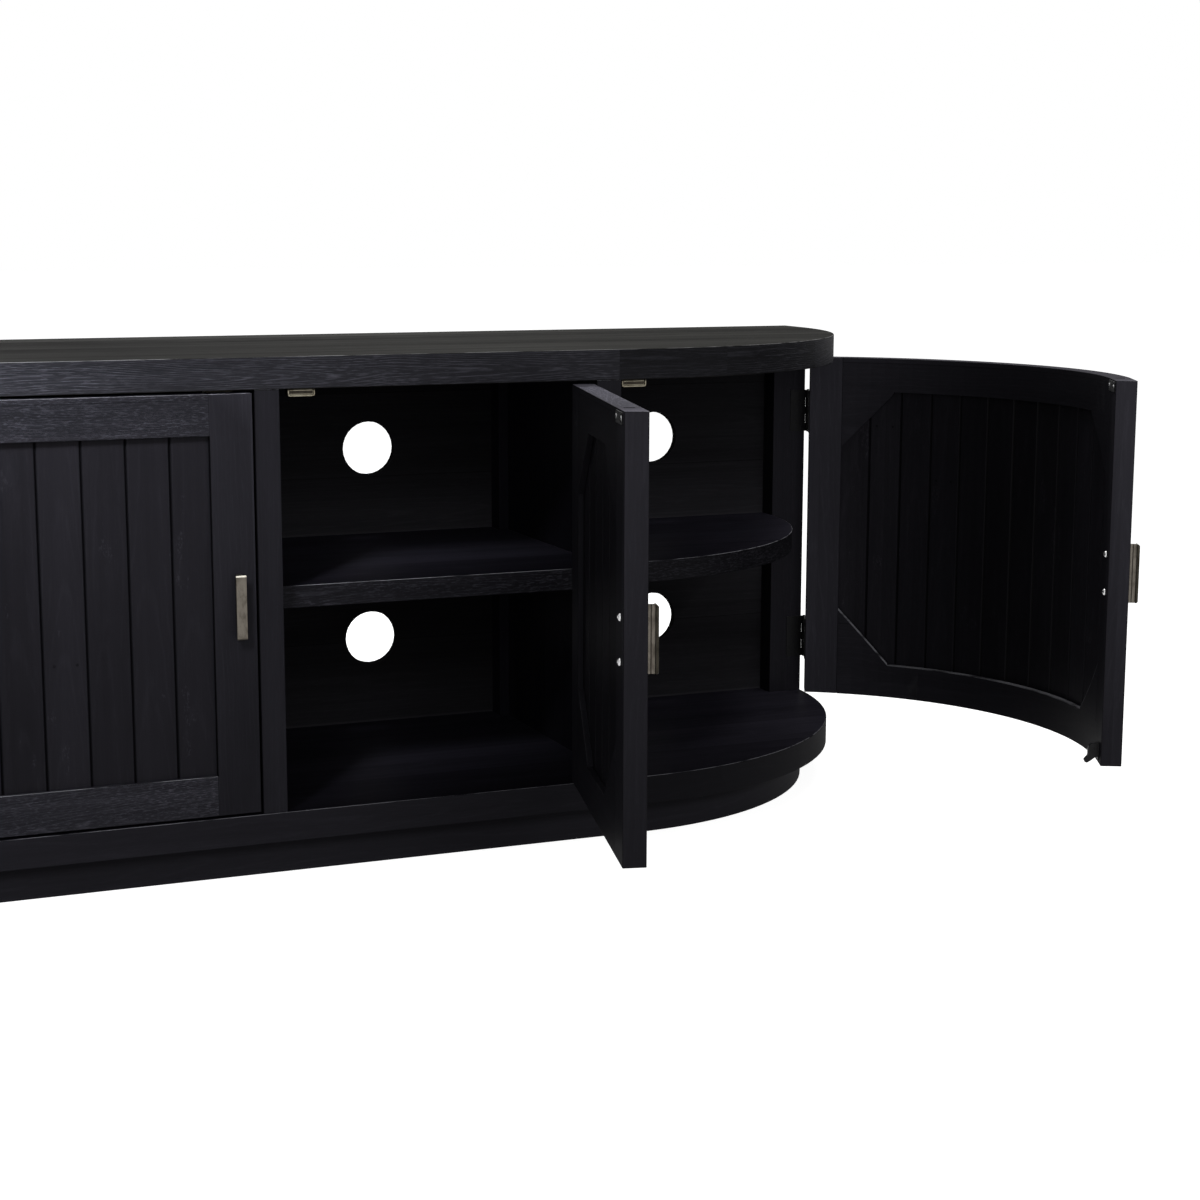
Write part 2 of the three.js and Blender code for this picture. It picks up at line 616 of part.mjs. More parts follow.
// One half of a butt hinge about a door's pin axis. The case half carries the pin and the odd
// knuckles; the door half has the knuckles between them, bored for the pin.
function hingeLeaf(door, side, middleZ, onDoor) {
  const [pinX, pinY] = door.pin;
  const [ax, ay] = door.toDoor;
  const [bx, by] = door.inward;
  const at = (a, b) => [side * (pinX + a * ax + b * bx), pinY + a * ay + b * by];
  const [x, y] = at(0, 0);
  const low = middleZ - HINGE_HEIGHT / 2;
  const step = HINGE_HEIGHT / KNUCKLES;
  const caseSide = -HINGE_GAP / 2;
  const plateStart = onDoor ? -caseSide - CLEARANCE - LEAF_THICKNESS : caseSide;
  const plateEnd = plateStart + LEAF_THICKNESS;
  const plateReach = PIN_PROUD + LEAF_WIDTH;
  const plan = [
    at(plateStart, 0),
    at(plateEnd, 0),
    at(plateEnd, plateReach),
    at(plateStart, plateReach),
  ];
  let leaf = prism(plan, low, low + HINGE_HEIGHT);
  for (let i = 0; i < KNUCKLES; i += 1) {
    const z0 = low + i * step;
    const own = (i % 2 === 1) === onDoor;
    if (own) {
      leaf = leaf.add(barAlongZ(x, y, KNUCKLE_RADIUS, z0 + CLEARANCE / 2, z0 + step - CLEARANCE / 2));
    } else {
      const room = KNUCKLE_RADIUS + CLEARANCE;
      leaf = leaf.subtract(barAlongZ(x, y, room, z0 - CLEARANCE / 2, z0 + step + CLEARANCE / 2));
    }
  }
  const pinLow = low - PIN_TIP;
  const pinHigh = low + HINGE_HEIGHT + PIN_TIP;
  if (!onDoor) return leaf.add(barAlongZ(x, y, PIN_RADIUS, pinLow, pinHigh));
  return leaf.subtract(barAlongZ(x, y, PIN_RADIUS + CLEARANCE, pinLow - REACH, pinHigh + REACH));
}

const hingeHeights = [
  ["upper", DOOR_TOP_Z - HINGE_FROM_EDGE],
  ["lower", DOOR_BOTTOM_Z + HINGE_FROM_EDGE],
];

// A door leaf with its hardware, built closed, then turned about its pins by openAngle degrees.
function hungDoor(name, door, side, openAngle) {
  const pinX = side * door.pin[0];
  const pinY = door.pin[1];
  const closed = new THREE.Group();
  closed.position.set(-pinX, -pinY, 0);
  closed.add(
    piece(`${name}_free_stile`, stainedPine, freeStile(door, side)),
    piece(`${name}_hinge_stile`, stainedPine, hingeStile(door, side)),
    piece(`${name}_top_rail`, stainedPine, rail(door, side, -1)),
    piece(`${name}_bottom_rail`, stainedPine, rail(door, side, 1)),
    piece(`${name}_planks`, stainedPine, plankPanel(door, side)),
    piece(`${name}_handle`, agedBrass, handle(door, side)),
  );
  for (const [level, z] of hingeHeights) {
    closed.add(piece(`${name}_${level}_hinge_door_leaf`, blackIron, hingeLeaf(door, side, z, true)));
    cabinet.add(piece(`${name}_${level}_hinge_case_leaf`, blackIron, hingeLeaf(door, side, z, false)));
  }
  cabinet.add(piece(`${name}_catch`, paleBrass, magneticCatch(door, side)));
  const turning = new THREE.Group();
  turning.position.set(pinX, pinY, 0);
  turning.rotation.z = side * radians(openAngle);
  turning.add(closed);
  cabinet.add(turning);
}

hungDoor("left_round_door", roundDoor, -1, 0);
hungDoor("left_flat_door", flatDoor, -1, 0);
hungDoor("right_flat_door", flatDoor, 1, FLAT_DOOR_OPEN);
hungDoor("right_round_door", roundDoor, 1, ROUND_DOOR_OPEN);

export default cabinet;
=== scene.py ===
"""Looks of a black pine media cabinet with rounded ends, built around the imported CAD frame."""

import json
import math
import random

import bmesh
import bpy
from mathutils import Matrix, Vector

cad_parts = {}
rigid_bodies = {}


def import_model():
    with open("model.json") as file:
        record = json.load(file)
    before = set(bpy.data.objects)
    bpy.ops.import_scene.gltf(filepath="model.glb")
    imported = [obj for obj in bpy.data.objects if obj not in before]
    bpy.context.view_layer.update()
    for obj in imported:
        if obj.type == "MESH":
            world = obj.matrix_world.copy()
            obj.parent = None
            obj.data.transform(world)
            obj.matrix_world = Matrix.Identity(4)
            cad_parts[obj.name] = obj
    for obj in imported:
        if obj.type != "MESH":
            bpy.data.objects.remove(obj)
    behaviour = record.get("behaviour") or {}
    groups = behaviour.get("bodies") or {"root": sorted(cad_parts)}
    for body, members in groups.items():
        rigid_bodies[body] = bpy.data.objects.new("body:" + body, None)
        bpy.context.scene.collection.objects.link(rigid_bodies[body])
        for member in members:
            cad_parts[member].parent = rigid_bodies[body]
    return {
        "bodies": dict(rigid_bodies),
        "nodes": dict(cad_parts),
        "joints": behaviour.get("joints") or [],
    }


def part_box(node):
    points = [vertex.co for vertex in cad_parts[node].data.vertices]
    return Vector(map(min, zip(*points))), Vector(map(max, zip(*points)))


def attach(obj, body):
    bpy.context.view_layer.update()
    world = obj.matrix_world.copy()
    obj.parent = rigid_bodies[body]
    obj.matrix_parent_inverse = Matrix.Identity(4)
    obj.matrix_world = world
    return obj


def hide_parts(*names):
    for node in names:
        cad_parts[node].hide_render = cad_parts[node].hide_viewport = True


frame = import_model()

# Blender's own start-up cube, lamp and camera aren't part of the scene.
framed = set(frame["nodes"].values()) | set(frame["bodies"].values())
for item in list(bpy.data.objects):
    if item not in framed:
        bpy.data.objects.remove(item, do_unlink=True)
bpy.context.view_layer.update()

MM = 0.001
NODES = frame["nodes"]
SCENE = bpy.context.scene
put_in_scene = SCENE.collection.objects.link
UP = Vector((0, 0, 1))

# Places that the frame gives
TOP_LOW, TOP_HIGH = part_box("top_board")
BOTTOM_LOW, BOTTOM_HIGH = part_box("bottom_board")
FLAT_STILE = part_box("left_flat_door_free_stile")
ROUND_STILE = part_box("left_round_door_free_stile")
HINGE_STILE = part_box("left_round_door_hinge_stile")
FRONT_Y = TOP_LOW.y
FACE_Y = FLAT_STILE[0].y
DOOR_THICKNESS = FLAT_STILE[1].y - FLAT_STILE[0].y
DOOR_LOW_Z = FLAT_STILE[0].z
DOOR_HIGH_Z = FLAT_STILE[1].z
DOOR_MIDDLE_Z = (DOOR_LOW_Z + DOOR_HIGH_Z) / 2
DOOR_TOP_GAP = TOP_LOW.z - DOOR_HIGH_Z
INNER_DEPTH = 0.6 * DOOR_THICKNESS  # what lies deeper is on the inner side of a door
SHELF_HIGH_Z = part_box("right_center_shelf")[1].z
BACK_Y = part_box("back_panel")[0].y
PARTITION_X = sum(corner.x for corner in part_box("right_partition")) / 2

# Sizes that part.mjs gives and no box does
END_RADIUS = 446 * MM
FACE_RADIUS = 444 * MM
STILE_WIDTH = 53 * MM
RAIL_WIDTH = 50 * MM
PANEL_TONGUE = 6 * MM
PANEL_RECESS = 8 * MM
PANEL_BACK = 20 * MM
PLINTH_RECESS = 38 * MM
PLANK_WIDTH = 52.4 * MM
GUSSET_LEG = 84 * MM
GUSSET_TIP = 3 * MM
END_X = TOP_HIGH.x - END_RADIUS
END_Y = FRONT_Y + END_RADIUS


# ---- door coordinates


class Door:
    """A door leaf in its own coordinates: s along its outer face from the free edge, depth into
    the wood from that face, and height. place() and measure() go to and from the rest pose."""

    def __init__(self, side, kind):
        self.name = f"{side}_{kind}_door"
        self.round = kind == "round"
        self.kind = 0 if self.round else 1  # place in the pairs of tones below
        self.side = 1 if side == "right" else -1
        joint = next(j for j in frame["joints"] if j["child"] == self.name)
        self.pin = Vector(joint["pos_m"])
        self.turn = -math.radians(joint["range_deg"][0]) * joint["axis"][2]
        stile = ROUND_STILE if self.round else FLAT_STILE
        self.free_x = -stile[1].x
        if self.round:
            self.straight = END_X - self.free_x
            hinge_angle = math.asin((HINGE_STILE[1].y - END_Y) / FACE_RADIUS)
            self.length = self.straight + FACE_RADIUS * (hinge_angle + math.pi / 2)
        else:
            self.straight = math.inf
            self.length = -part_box("left_flat_door_hinge_stile")[0].x - self.free_x

    def turned(self, point, angle):
        return self.pin + Matrix.Rotation(angle, 3, "Z") @ (point - self.pin)

    def outward(self, s):
        return self.place(s, 0.0, 0.0) - self.place(s, 1.0, 0.0)

    def place(self, s, depth, z):
        if s <= self.straight:
            x = self.free_x + s
            y = FACE_Y + depth
        else:
            angle = (s - self.straight) / FACE_RADIUS
            x = END_X + (FACE_RADIUS - depth) * math.sin(angle)
            y = END_Y - (FACE_RADIUS - depth) * math.cos(angle)
        return self.turned(Vector((self.side * x, y, z)), self.turn)

    def measure(self, point):
        closed = self.turned(point, -self.turn)
        x = self.side * closed.x
        if not self.round or x <= END_X:
            return Vector((x - self.free_x, closed.y - FACE_Y, closed.z))
        angle = math.atan2(x - END_X, END_Y - closed.y)
        radius = math.hypot(x - END_X, END_Y - closed.y)
        return Vector((self.straight + FACE_RADIUS * angle, FACE_RADIUS - radius, closed.z))


SIDES = ("left", "right")
DOORS = [Door(side, kind) for side in SIDES for kind in ("round", "flat")]


# ---- shader nodes


class Shader:
    """The node tree of a material or a world, with short calls that make and join its nodes."""

    def __init__(self, name, owners=bpy.data.materials):
        self.owner = owners.new(name)
        self.owner.use_nodes = True
        self.tree = self.owner.node_tree
        self.tree.nodes.clear()

    def add(self, kind, values=(), **settings):
        node = self.tree.nodes.new(f"ShaderNode{kind}")
        for key, value in settings.items():
            setattr(node, key, value)
        pairs = values.items() if isinstance(values, dict) else enumerate(values)
        for key, value in pairs:
            self.put(node.inputs[key], value)
        return node

    def put(self, socket, value):
        if isinstance(value, bpy.types.NodeSocket):
            self.tree.links.new(value, socket)
        elif value is not None:
            socket.default_value = value

    def math(self, operation, *values):
        return self.add("Math", values, operation=operation).outputs[0]

    def plus(self, first, second):
        return self.math("ADD", first, second)

    def minus(self, first, second):
        return self.math("SUBTRACT", first, second)

    def times(self, first, second):
        return self.math("MULTIPLY", first, second)

    def swing(self, value, reach):
        """Turns a value of 0 to 1 into a swing about nought, reach wide."""
        return self.times(self.minus(value, 0.5), reach)

    def dimmed(self, value, loss):
        return self.times(value, self.minus(1.0, loss))

    def distance(self, first, second):
        """How far a point at first and second lies from nought."""
        squares = [self.math("POWER", value, 2.0) for value in (first, second)]
        return self.math("SQRT", self.plus(*squares))

    def apart(self, first, second):
        return self.math("ABSOLUTE", self.minus(first, second))

    def vector_math(self, operation, *values):
        return self.add("VectorMath", values, operation=operation).outputs[0]

    def shaded(self, colour, share):
        values = {"Vector": colour, "Scale": share}
        return self.add("VectorMath", values, operation="SCALE").outputs[0]

    def noise(self, vector, factors, detail=2.0, roughness=0.5):
        place = self.vector_math("MULTIPLY", vector, factors)
        values = {"Vector": place, "Scale": 1.0, "Detail": detail, "Roughness": roughness}
        return self.add("TexNoise", values).outputs[0]

    def remap(self, value, low, high, to_low=0.0, to_high=1.0, kind="SMOOTHSTEP"):
        values = [value, low, high, to_low, to_high]
        return self.add("MapRange", values, interpolation_type=kind).outputs[0]

    def finish(self, values):
        surface = self.add("BsdfPrincipled", values)
        output = self.add("OutputMaterial")
        self.tree.links.new(surface.outputs[0], output.inputs[0])
        return self.owner


def growth_rings(t, place, along, across, through, heart, spacing):
    """Pale lines where growth rings reach the face. The tree's heart lies below the board, wanders
    and climbs along it, so that the rings are cut into cathedral figure."""
    aside = t.swing(t.noise(place, (2.2, 7.0, 7.0), 2.0), 0.045)
    lean = t.swing(t.noise(place, (1.1, 4.0, 9.0), 1.0), 0.05)
    beside = t.plus(across, aside)
    below = t.plus(t.plus(through, heart), lean)
    climb = t.times(along, 0.02)
    wiggle = t.times(t.noise(place, (16.0, 60.0, 60.0), 1.0), 0.0022)
    radius = t.plus(t.plus(t.distance(beside, below), climb), wiggle)
    return t.remap(t.apart(t.math("FRACT", t.math("DIVIDE", radius, spacing)), 0.5), 0.19, 0.03)


def nails_and_scuffs(t, shade, place, along, across, chance):
    """Pairs of filled nail heads, and pale scuffs."""
    pitch, start, aside = 0.37, 0.18, 0.0135
    height, lot, _ = t.add("SeparateXYZ", [chance]).outputs
    above = t.minus(t.math("MODULO", t.plus(along, height), pitch), start)
    beside = t.minus(t.math("ABSOLUTE", across), aside)
    nail = t.remap(t.distance(beside, above), 1.2 * MM, 2.4 * MM, 1.0, 0.0)
    dark = t.times(nail, t.math("GREATER_THAN", lot, 0.5))
    scuffed = t.remap(t.noise(place, (12.0, 30.0, 30.0), 3.0, 0.65), 0.615, 0.68)
    gritty = t.remap(t.noise(place, (240.0, 420.0, 420.0), 2.0, 0.6), 0.45, 0.7)
    shade = t.dimmed(shade, t.times(dark, 0.6))
    return t.plus(shade, t.times(t.times(scuffed, gritty), 1.1))


def pine(name, tone, wear_and_highlight_tone, figure, fleck, streak, gloss, sheen, relief, vary=0.3, stave=0.2,
         rings=0.0047, heart=0.028, dash=(60.0, 540.0), marks=False, grooves=None):
    """Black-stained pine. The mesh attribute "grain" gives metres along, across and through the
    wood, and "piece" a number for each board. A third attribute gives the depth of tone together
    with painted light and shade, and "edge" pale abrasion on an arris together with a painted
    highlight on the arrises that look up. rings is the growth rings' spacing, heart the depth of
    the tree's middle below the face, and dash the flecks' scale along and across the grain. grooves
    gives the middle depth of grooved planks and half their thickness, whose V gets painted shade."""
    t = Shader(name)
    grain = t.add("Attribute", attribute_name="grain").outputs["Vector"]
    number, edge, stain = (
        t.add("Attribute", attribute_name=key).outputs["Fac"] for key in ("piece", "edge", "stain")
    )
    along, across, through = t.add("SeparateXYZ", [grain]).outputs
    # Each stave of a glued board has its own tone and its own figure.
    index = t.math("FLOOR", t.math("DIVIDE", across, stave))
    seed = t.plus(t.times(index, 1.37), t.times(number, 91.7))
    chance = t.add("TexWhiteNoise", {"W": seed}, noise_dimensions="1D").outputs
    shift = t.vector_math("MULTIPLY", chance["Color"], (3.0, 0.2, 0.2))
    place = t.vector_math("ADD", grain, shift)
    inside = t.math("MODULO", t.plus(across, 10 * stave), stave)
    local = t.minus(inside, stave / 2)
    # Broken ring lines, short raised flecks, and long fibres stretched along the grain.
    ridge = growth_rings(t, place, along, local, through, heart, rings)
    broken = t.remap(t.noise(place, (26.0, 150.0, 150.0), 2.0, 0.6), 0.38, 0.58)
    ridges = t.times(ridge, broken)
    clouds = t.noise(place, (3.5, 13.0, 13.0), 3.0, 0.6)
    flecks = t.noise(place, (dash[0], dash[1], dash[1]), 2.0, 0.6)
    bright = t.times(t.remap(flecks, 0.50, 0.66), t.remap(clouds, 0.36, 0.58, 0.3, 1.0))
    fibres = t.noise(place, (9.0, 620.0, 620.0), 3.0, 0.6)
    streaks = t.noise(place, (1.3, 120.0, 120.0), 3.0, 0.55)
    bands = t.noise(place, (0.8, 30.0, 30.0), 2.0, 0.55)
    shade = 1.0
    for term in (
        t.times(ridges, figure),
        t.times(bright, fleck),
        t.swing(streaks, streak),
        t.swing(bands, vary * 1.5),
        t.swing(fibres, streak * 0.8),
        t.swing(clouds, 0.7),
        t.swing(chance["Value"], vary),
    ):
        shade = t.plus(shade, term)
    # Glue lines between staves are dark.
    joint = t.remap(t.math("ABSOLUTE", local), stave / 2 - 0.9 * MM, stave / 2 - 0.2 * MM)
    shade = t.dimmed(shade, t.times(joint, 0.45))
    if marks:
        shade = nails_and_scuffs(t, shade, place, along, local, chance["Color"])
    if grooves:
        # Painted shade darkens the V between two planks.
        middle, skin = grooves
        sunk = t.apart(through, middle)
        shade = t.dimmed(shade, t.remap(sunk, skin - 1.4 * MM, skin - 0.5 * MM, 0.6, 0.0))
    # The tone attribute multiplies painted light and shade into the colour.
    shade = t.times(t.math("MAXIMUM", shade, 0.15), stain)
    # Pale abrasion on arrises, which also paints a highlight on the arrises that look up.
    chips = t.remap(t.noise(place, (14.0, 60.0, 60.0), 3.0, 0.6), 0.36, 0.56)
    wear_and_highlight_colour = t.shaded(wear_and_highlight_tone, t.times(edge, chips))
    height = t.plus(t.times(t.plus(ridges, bright), 0.5), t.times(fibres, 0.6))
    bump = t.add("Bump", {"Strength": 1.0, "Distance": relief, "Height": height}).outputs[0]
    return t.finish({
        "Base Color": t.vector_math("ADD", t.shaded(tone, shade), wear_and_highlight_colour),
        "Roughness": t.plus(0.7, t.swing(fibres, 0.16)),
        "Specular IOR Level": 0.0,
        "Coat Weight": gloss,
        "Coat Roughness": sheen,
        "Coat IOR": 1.3,
        "Normal": bump,
        "Coat Normal": bump,
    })


PINE_TOP = pine(
    "pine_top", (0.0220, 0.0217, 0.0206), (0.05, 0.05, 0.052),
    figure=0.3, fleck=0.2, streak=1.7, vary=0.8, gloss=0.10, sheen=0.5, relief=0.00012,
    stave=0.082,
)
PINE_RIM = pine(
    "pine_rim", (0.0147, 0.0146, 0.0178), (0.10, 0.101, 0.11),
    figure=1.4, fleck=1.5, streak=0.7, gloss=0.2, sheen=0.38, relief=0.0003,
    rings=0.0024, heart=0.013, dash=(60.0, 680.0),
)
PINE_RAIL = pine(
    "pine_rail", (0.0133, 0.0130, 0.0161), (0.10, 0.101, 0.11),
    figure=0.7, fleck=2.4, streak=0.7, gloss=0.14, sheen=0.42, relief=0.0003,
    rings=0.0026, heart=0.012, dash=(130.0, 620.0),
)
PINE_SMOOTH = pine(
    "pine_smooth", (0.0132, 0.0127, 0.0159), (0.09, 0.091, 0.10),
    figure=0.16, fleck=0.12, streak=0.32, gloss=0.12, sheen=0.4, relief=0.00008,
)
PINE_PLANK = pine(
    "pine_plank", (0.0106, 0.0101, 0.0126), (0.04, 0.04, 0.045),
    figure=0.2, fleck=0.14, streak=0.32, gloss=0.12, sheen=0.4, relief=0.00008,
    stave=PLANK_WIDTH, marks=True,
    grooves=((PANEL_RECESS + PANEL_BACK) / 2, (PANEL_BACK - PANEL_RECESS) / 2),
)
INSIDE_LOOK = {
    "figure": 0.2, "fleck": 0.15, "streak": 0.5, "vary": 0.4, "gloss": 0.08, "sheen": 0.45,
    "relief": 0.00008, "stave": 0.12,
}
PINE_INSIDE = pine("pine_inside", (0.0096, 0.0090, 0.0127), (0.05, 0.05, 0.055), **INSIDE_LOOK)
PINE_BACK = pine("pine_back", (0.0093, 0.0090, 0.0104), (0.05, 0.05, 0.055), **INSIDE_LOOK)
PINE_BORE = pine(
    "pine_bore", (0.006, 0.006, 0.006), (0.03, 0.03, 0.03),
    figure=0.2, fleck=0.2, streak=0.5, gloss=0.0, sheen=0.5, relief=0.0001, stave=0.12,
)


def metal(name, colour, tarnish, rough, grain, patchy, metallic=1.0, shine=0.5):
    """Brushed or cast metal: fine lines at a scale set by grain, and patches of tarnish."""
    t = Shader(name)
    place = t.add("TexCoord").outputs["Object"]
    lines = t.noise(place, grain, 2.0, 0.6)
    patches = t.remap(t.noise(place, (120.0, 120.0, 60.0), 4.0, 0.65), 0.42, 0.68)
    pits = t.remap(t.noise(place, (900.0, 900.0, 900.0), 2.0), 0.62, 0.75)
    dirt = t.times(t.math("MAXIMUM", patches, pits), patchy)
    tint = t.add("MixRGB", [dirt, (*colour, 1.0), (*tarnish, 1.0)]).outputs[0]
    roughness = t.plus(rough, t.swing(lines, 0.2))
    roughness = t.plus(roughness, t.times(dirt, 0.2))
    relief = {"Strength": 1.0, "Distance": 0.03 * MM, "Height": lines}
    return t.finish({
        "Base Color": t.shaded(tint, t.remap(lines, 0.25, 0.75, 0.82, 1.12, "LINEAR")),
        "Metallic": metallic,
        "Roughness": roughness,
        "Specular IOR Level": shine,
        "Normal": t.add("Bump", relief).outputs[0],
    })


LENGTHWISE = (2500.0, 2500.0, 60.0)
BRASS = metal(
    "aged_brass", (0.118, 0.106, 0.090), (0.060, 0.052, 0.042), 0.42, LENGTHWISE, 0.7,
)
PALE_BRASS = metal(
    "pale_brass", (0.20, 0.183, 0.140), (0.11, 0.09, 0.06), 0.33, (60.0, 1500.0, 1500.0), 0.6,
)
# Brass with painted shade
PAINTED_SHADE_BRASS = metal(
    "tarnished_brass", (0.030, 0.027, 0.021), (0.016, 0.014, 0.011), 0.5, LENGTHWISE, 0.7,
)
# Pale brass as a painted highlight
PAINTED_HIGHLIGHT_BRASS = metal(
    "rubbed_brass", (0.62, 0.60, 0.53), (0.40, 0.37, 0.31), 0.35, LENGTHWISE, 0.4,
)
STEEL = metal(
    "bright_steel", (0.60, 0.60, 0.61), (0.33, 0.32, 0.31), 0.25, (700.0, 700.0, 700.0), 0.4,
)
IRON = metal(
    "black_iron", (0.010, 0.010, 0.011), (0.006, 0.006, 0.006), 0.45, (500.0, 500.0, 500.0), 0.6,
    metallic=0.0, shine=0.12,
)
MAGNET = metal(
    "dark_magnet", (0.085, 0.070, 0.052), (0.05, 0.042, 0.034), 0.6, (400.0, 400.0, 400.0), 0.6,
    metallic=0.0, shine=0.2,
)


# ---- mesh helpers

SHARP = math.radians(40)
ROUNDED = math.radians(20)
COPLANAR = math.radians(0.3)
WELD = 0.3 * MM
SHORTEST_ARRIS = 2.0 * MM
# What the upward part of a face's normal says of the face
TILTED = 0.3
BROAD = 0.6
LEVEL = 0.8
# Painted shade on the arrises that stand upright
UPRIGHT_ARRIS_SHADE = 0.6


def always(value):
    """A rule that gives the same value for every face, edge or place."""
    return lambda *given: value


even = always(1.0)
without_wear_and_highlight = always(0.0)
none_sharp = always(False)


def shown(name, mesh_source, body, materials):
    """A finished bmesh as a piece of the object, with even shading on its broad faces."""
    mesh = bpy.data.meshes.new(name)
    for face in mesh_source.faces:
        face.smooth = True
    for edge in mesh_source.edges:
        edge.smooth = edge.calc_face_angle(0.0) < SHARP
    mesh_source.to_mesh(mesh)
    mesh_source.free()
    for material in materials:
        mesh.materials.append(material)
    piece = bpy.data.objects.new(name, mesh)
    put_in_scene(piece)
    shading = piece.modifiers.new("even_shading", "WEIGHTED_NORMAL")
    shading.keep_sharp = True
    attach(piece, body)
    return piece


def faced_out(made):
    bmesh.ops.recalc_face_normals(made, faces=made.faces)


def body_of(node):
    for door in DOORS:
        if node.startswith(door.name):
            return door.name
    return "case"


def cad_mesh(node):
    """A node's solid as a bmesh with its triangles joined into whole faces."""
    source = NODES[node].data
    made = bmesh.new()
    corners = [made.verts.new(v.co) for v in source.vertices]
    for polygon in source.polygons:
        made.faces.new([corners[i] for i in polygon.vertices])
    bmesh.ops.remove_doubles(made, verts=made.verts, dist=WELD)
    bmesh.ops.dissolve_limit(made, angle_limit=COPLANAR, verts=made.verts, edges=made.edges)
    return made


def round_arrises(made, width, stays_sharp, wear_and_highlight_at=even):
    """Rounds the solid's sharp edges. The new faces that look up get pale abrasion with a painted
    highlight, and those that stand upright are marked as upright arrises."""
    chosen = [
        e for e in made.edges
        if e.calc_face_angle(0.0) > ROUNDED and e.calc_length() > SHORTEST_ARRIS
        and not stays_sharp(e.verts[0].co, e.verts[1].co)
    ]
    wear_and_highlight_layer = made.loops.layers.float.new("edge")
    upright_arris = made.faces.layers.int.new("upright_arris")
    if not width or not chosen:
        return
    result = bmesh.ops.bevel(
        made, geom=chosen, offset=width, offset_type="OFFSET", segments=3, profile=0.5,
        affect="EDGES", clamp_overlap=True, miter_outer="ARC",
    )
    made.normal_update()
    for face in result["faces"]:
        for loop in face.loops:
            loop[wear_and_highlight_layer] = wear_and_highlight_at(loop.vert.co) if face.normal.z > TILTED else 0.0
        face[upright_arris] = abs(face.normal.z) < TILTED


def cut(made, planes):
    for point, normal in planes:
        everything = [*made.verts, *made.edges, *made.faces]
        bmesh.ops.bisect_plane(made, geom=everything, dist=1e-6, plane_co=point, plane_no=normal)


def cuts_at(*places):
    return [(Vector((sign * x, 0, 0)), Vector((1, 0, 0))) for x in places for sign in (-1, 1)]


def level_cuts(*heights):
    return [(Vector((0, 0, z)), UP) for z in heights]


def blend(value, start, end, first, last):
    """Goes from first to last as value goes from start to end, and stays there beyond them."""
    share = min(1.0, max(0.0, (value - start) / (end - start)))
    return first + share * (last - first)


def wooden(node, grain_of, materials, width=0.8 * MM, cuts=(), tone_and_light_of=even,
           stays_sharp=none_sharp, wear_and_highlight_at=even, fade_at=even, fade_cuts=(), strip_wear_and_highlight=without_wear_and_highlight):
    """Stands a finished wooden piece in for a CAD node. grain_of(normal, middle) gives, for one
    face, its place-to-grain function, the board's number and the material's index. The tone rule
    gives a face's tone with painted light and shade, which fade_at changes from corner to corner
    with more painted light and shade, and the strip rule the pale abrasion and painted highlight of
    a narrow face that the cuts set off. Upright arrises get painted shade. cuts come before the
    arrises are rounded and fade_cuts after."""
    made = cad_mesh(node)
    cut(made, cuts)
    round_arrises(made, width, stays_sharp, wear_and_highlight_at)
    cut(made, fade_cuts)
    upright_arris = made.faces.layers.int["upright_arris"]
    wear_and_highlight_layer = made.loops.layers.float["edge"]
    grain = made.loops.layers.float_vector.new("grain")
    piece = made.loops.layers.float.new("piece")
    stain = made.loops.layers.float.new("stain")
    # Every piece and every board in it has its own stretch of the figure.
    chance = random.Random(node)
    own = chance.random()
    start = 3.0 * chance.random()
    board_step = 0.37
    made.normal_update()
    for face in made.faces:
        middle = face.calc_center_median()
        to_grain, number, index = grain_of(face.normal, middle)
        tone = tone_and_light_of(middle, face.normal)
        # Painted shade on an upright arris.
        if face[upright_arris]:
            tone *= UPRIGHT_ARRIS_SHADE
        strip_wear_and_highlight_value = strip_wear_and_highlight(middle)
        face.material_index = index
        for loop in face.loops:
            along, across, through = to_grain(loop.vert.co)
            loop[grain] = (along + start, across, through)
            loop[piece] = own + board_step * number
            loop[stain] = tone * fade_at(loop.vert.co)
            loop[wear_and_highlight_layer] = max(loop[wear_and_highlight_layer], strip_wear_and_highlight_value)
    stand_in = shown(f"{node}_wood", made, body_of(node), materials)
    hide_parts(node)


def joined(made, rings):
    """Faces between each ring of corners and the next."""
    for low, high in zip(rings, rings[1:]):
        for i in range(len(low)):
            j = (i + 1) % len(low)
            made.faces.new([low[i], low[j], high[j], high[i]])


def lathe(made, foot, axis, profile, sides=24, star=None):
    """A turned shape from (radius, height) rings about an axis. star is the index of the ring
    whose corners are drawn in to make a cross-shaped recess."""
    axis = axis.normalized()
    first = axis.orthogonal().normalized()
    second = axis.cross(first)
    cross_arm = 0.68
    rings = []
    for k, (radius, height) in enumerate(profile):
        ring = []
        for i in range(sides):
            angle = 2 * math.pi * i / sides
            reach = radius
            if star is not None and k >= star:
                reach *= 1 - cross_arm + cross_arm * abs(math.cos(2 * angle)) ** 4
            offset = first * math.cos(angle) + second * math.sin(angle)
            ring.append(made.verts.new(foot + axis * height + offset * reach))
        rings.append(ring)
    joined(made, rings)
    made.faces.new(rings[0][::-1])
    made.faces.new(rings[-1])


def extruded(made, outline, to_place, low, high):
    """A flat outline of (u, v) points raised from low to high; to_place(u, v, w) gives a point."""
    bottom = [made.verts.new(to_place(u, v, low)) for u, v in outline]
    top = [made.verts.new(to_place(u, v, high)) for u, v in outline]
    made.faces.new(bottom[::-1])
    made.faces.new(top)
    joined(made, [bottom, top])


def closed_up(made, width=0.0):
    """Outward faces, and rounded arrises where a width is given."""
    faced_out(made)
    round_arrises(made, width, none_sharp)


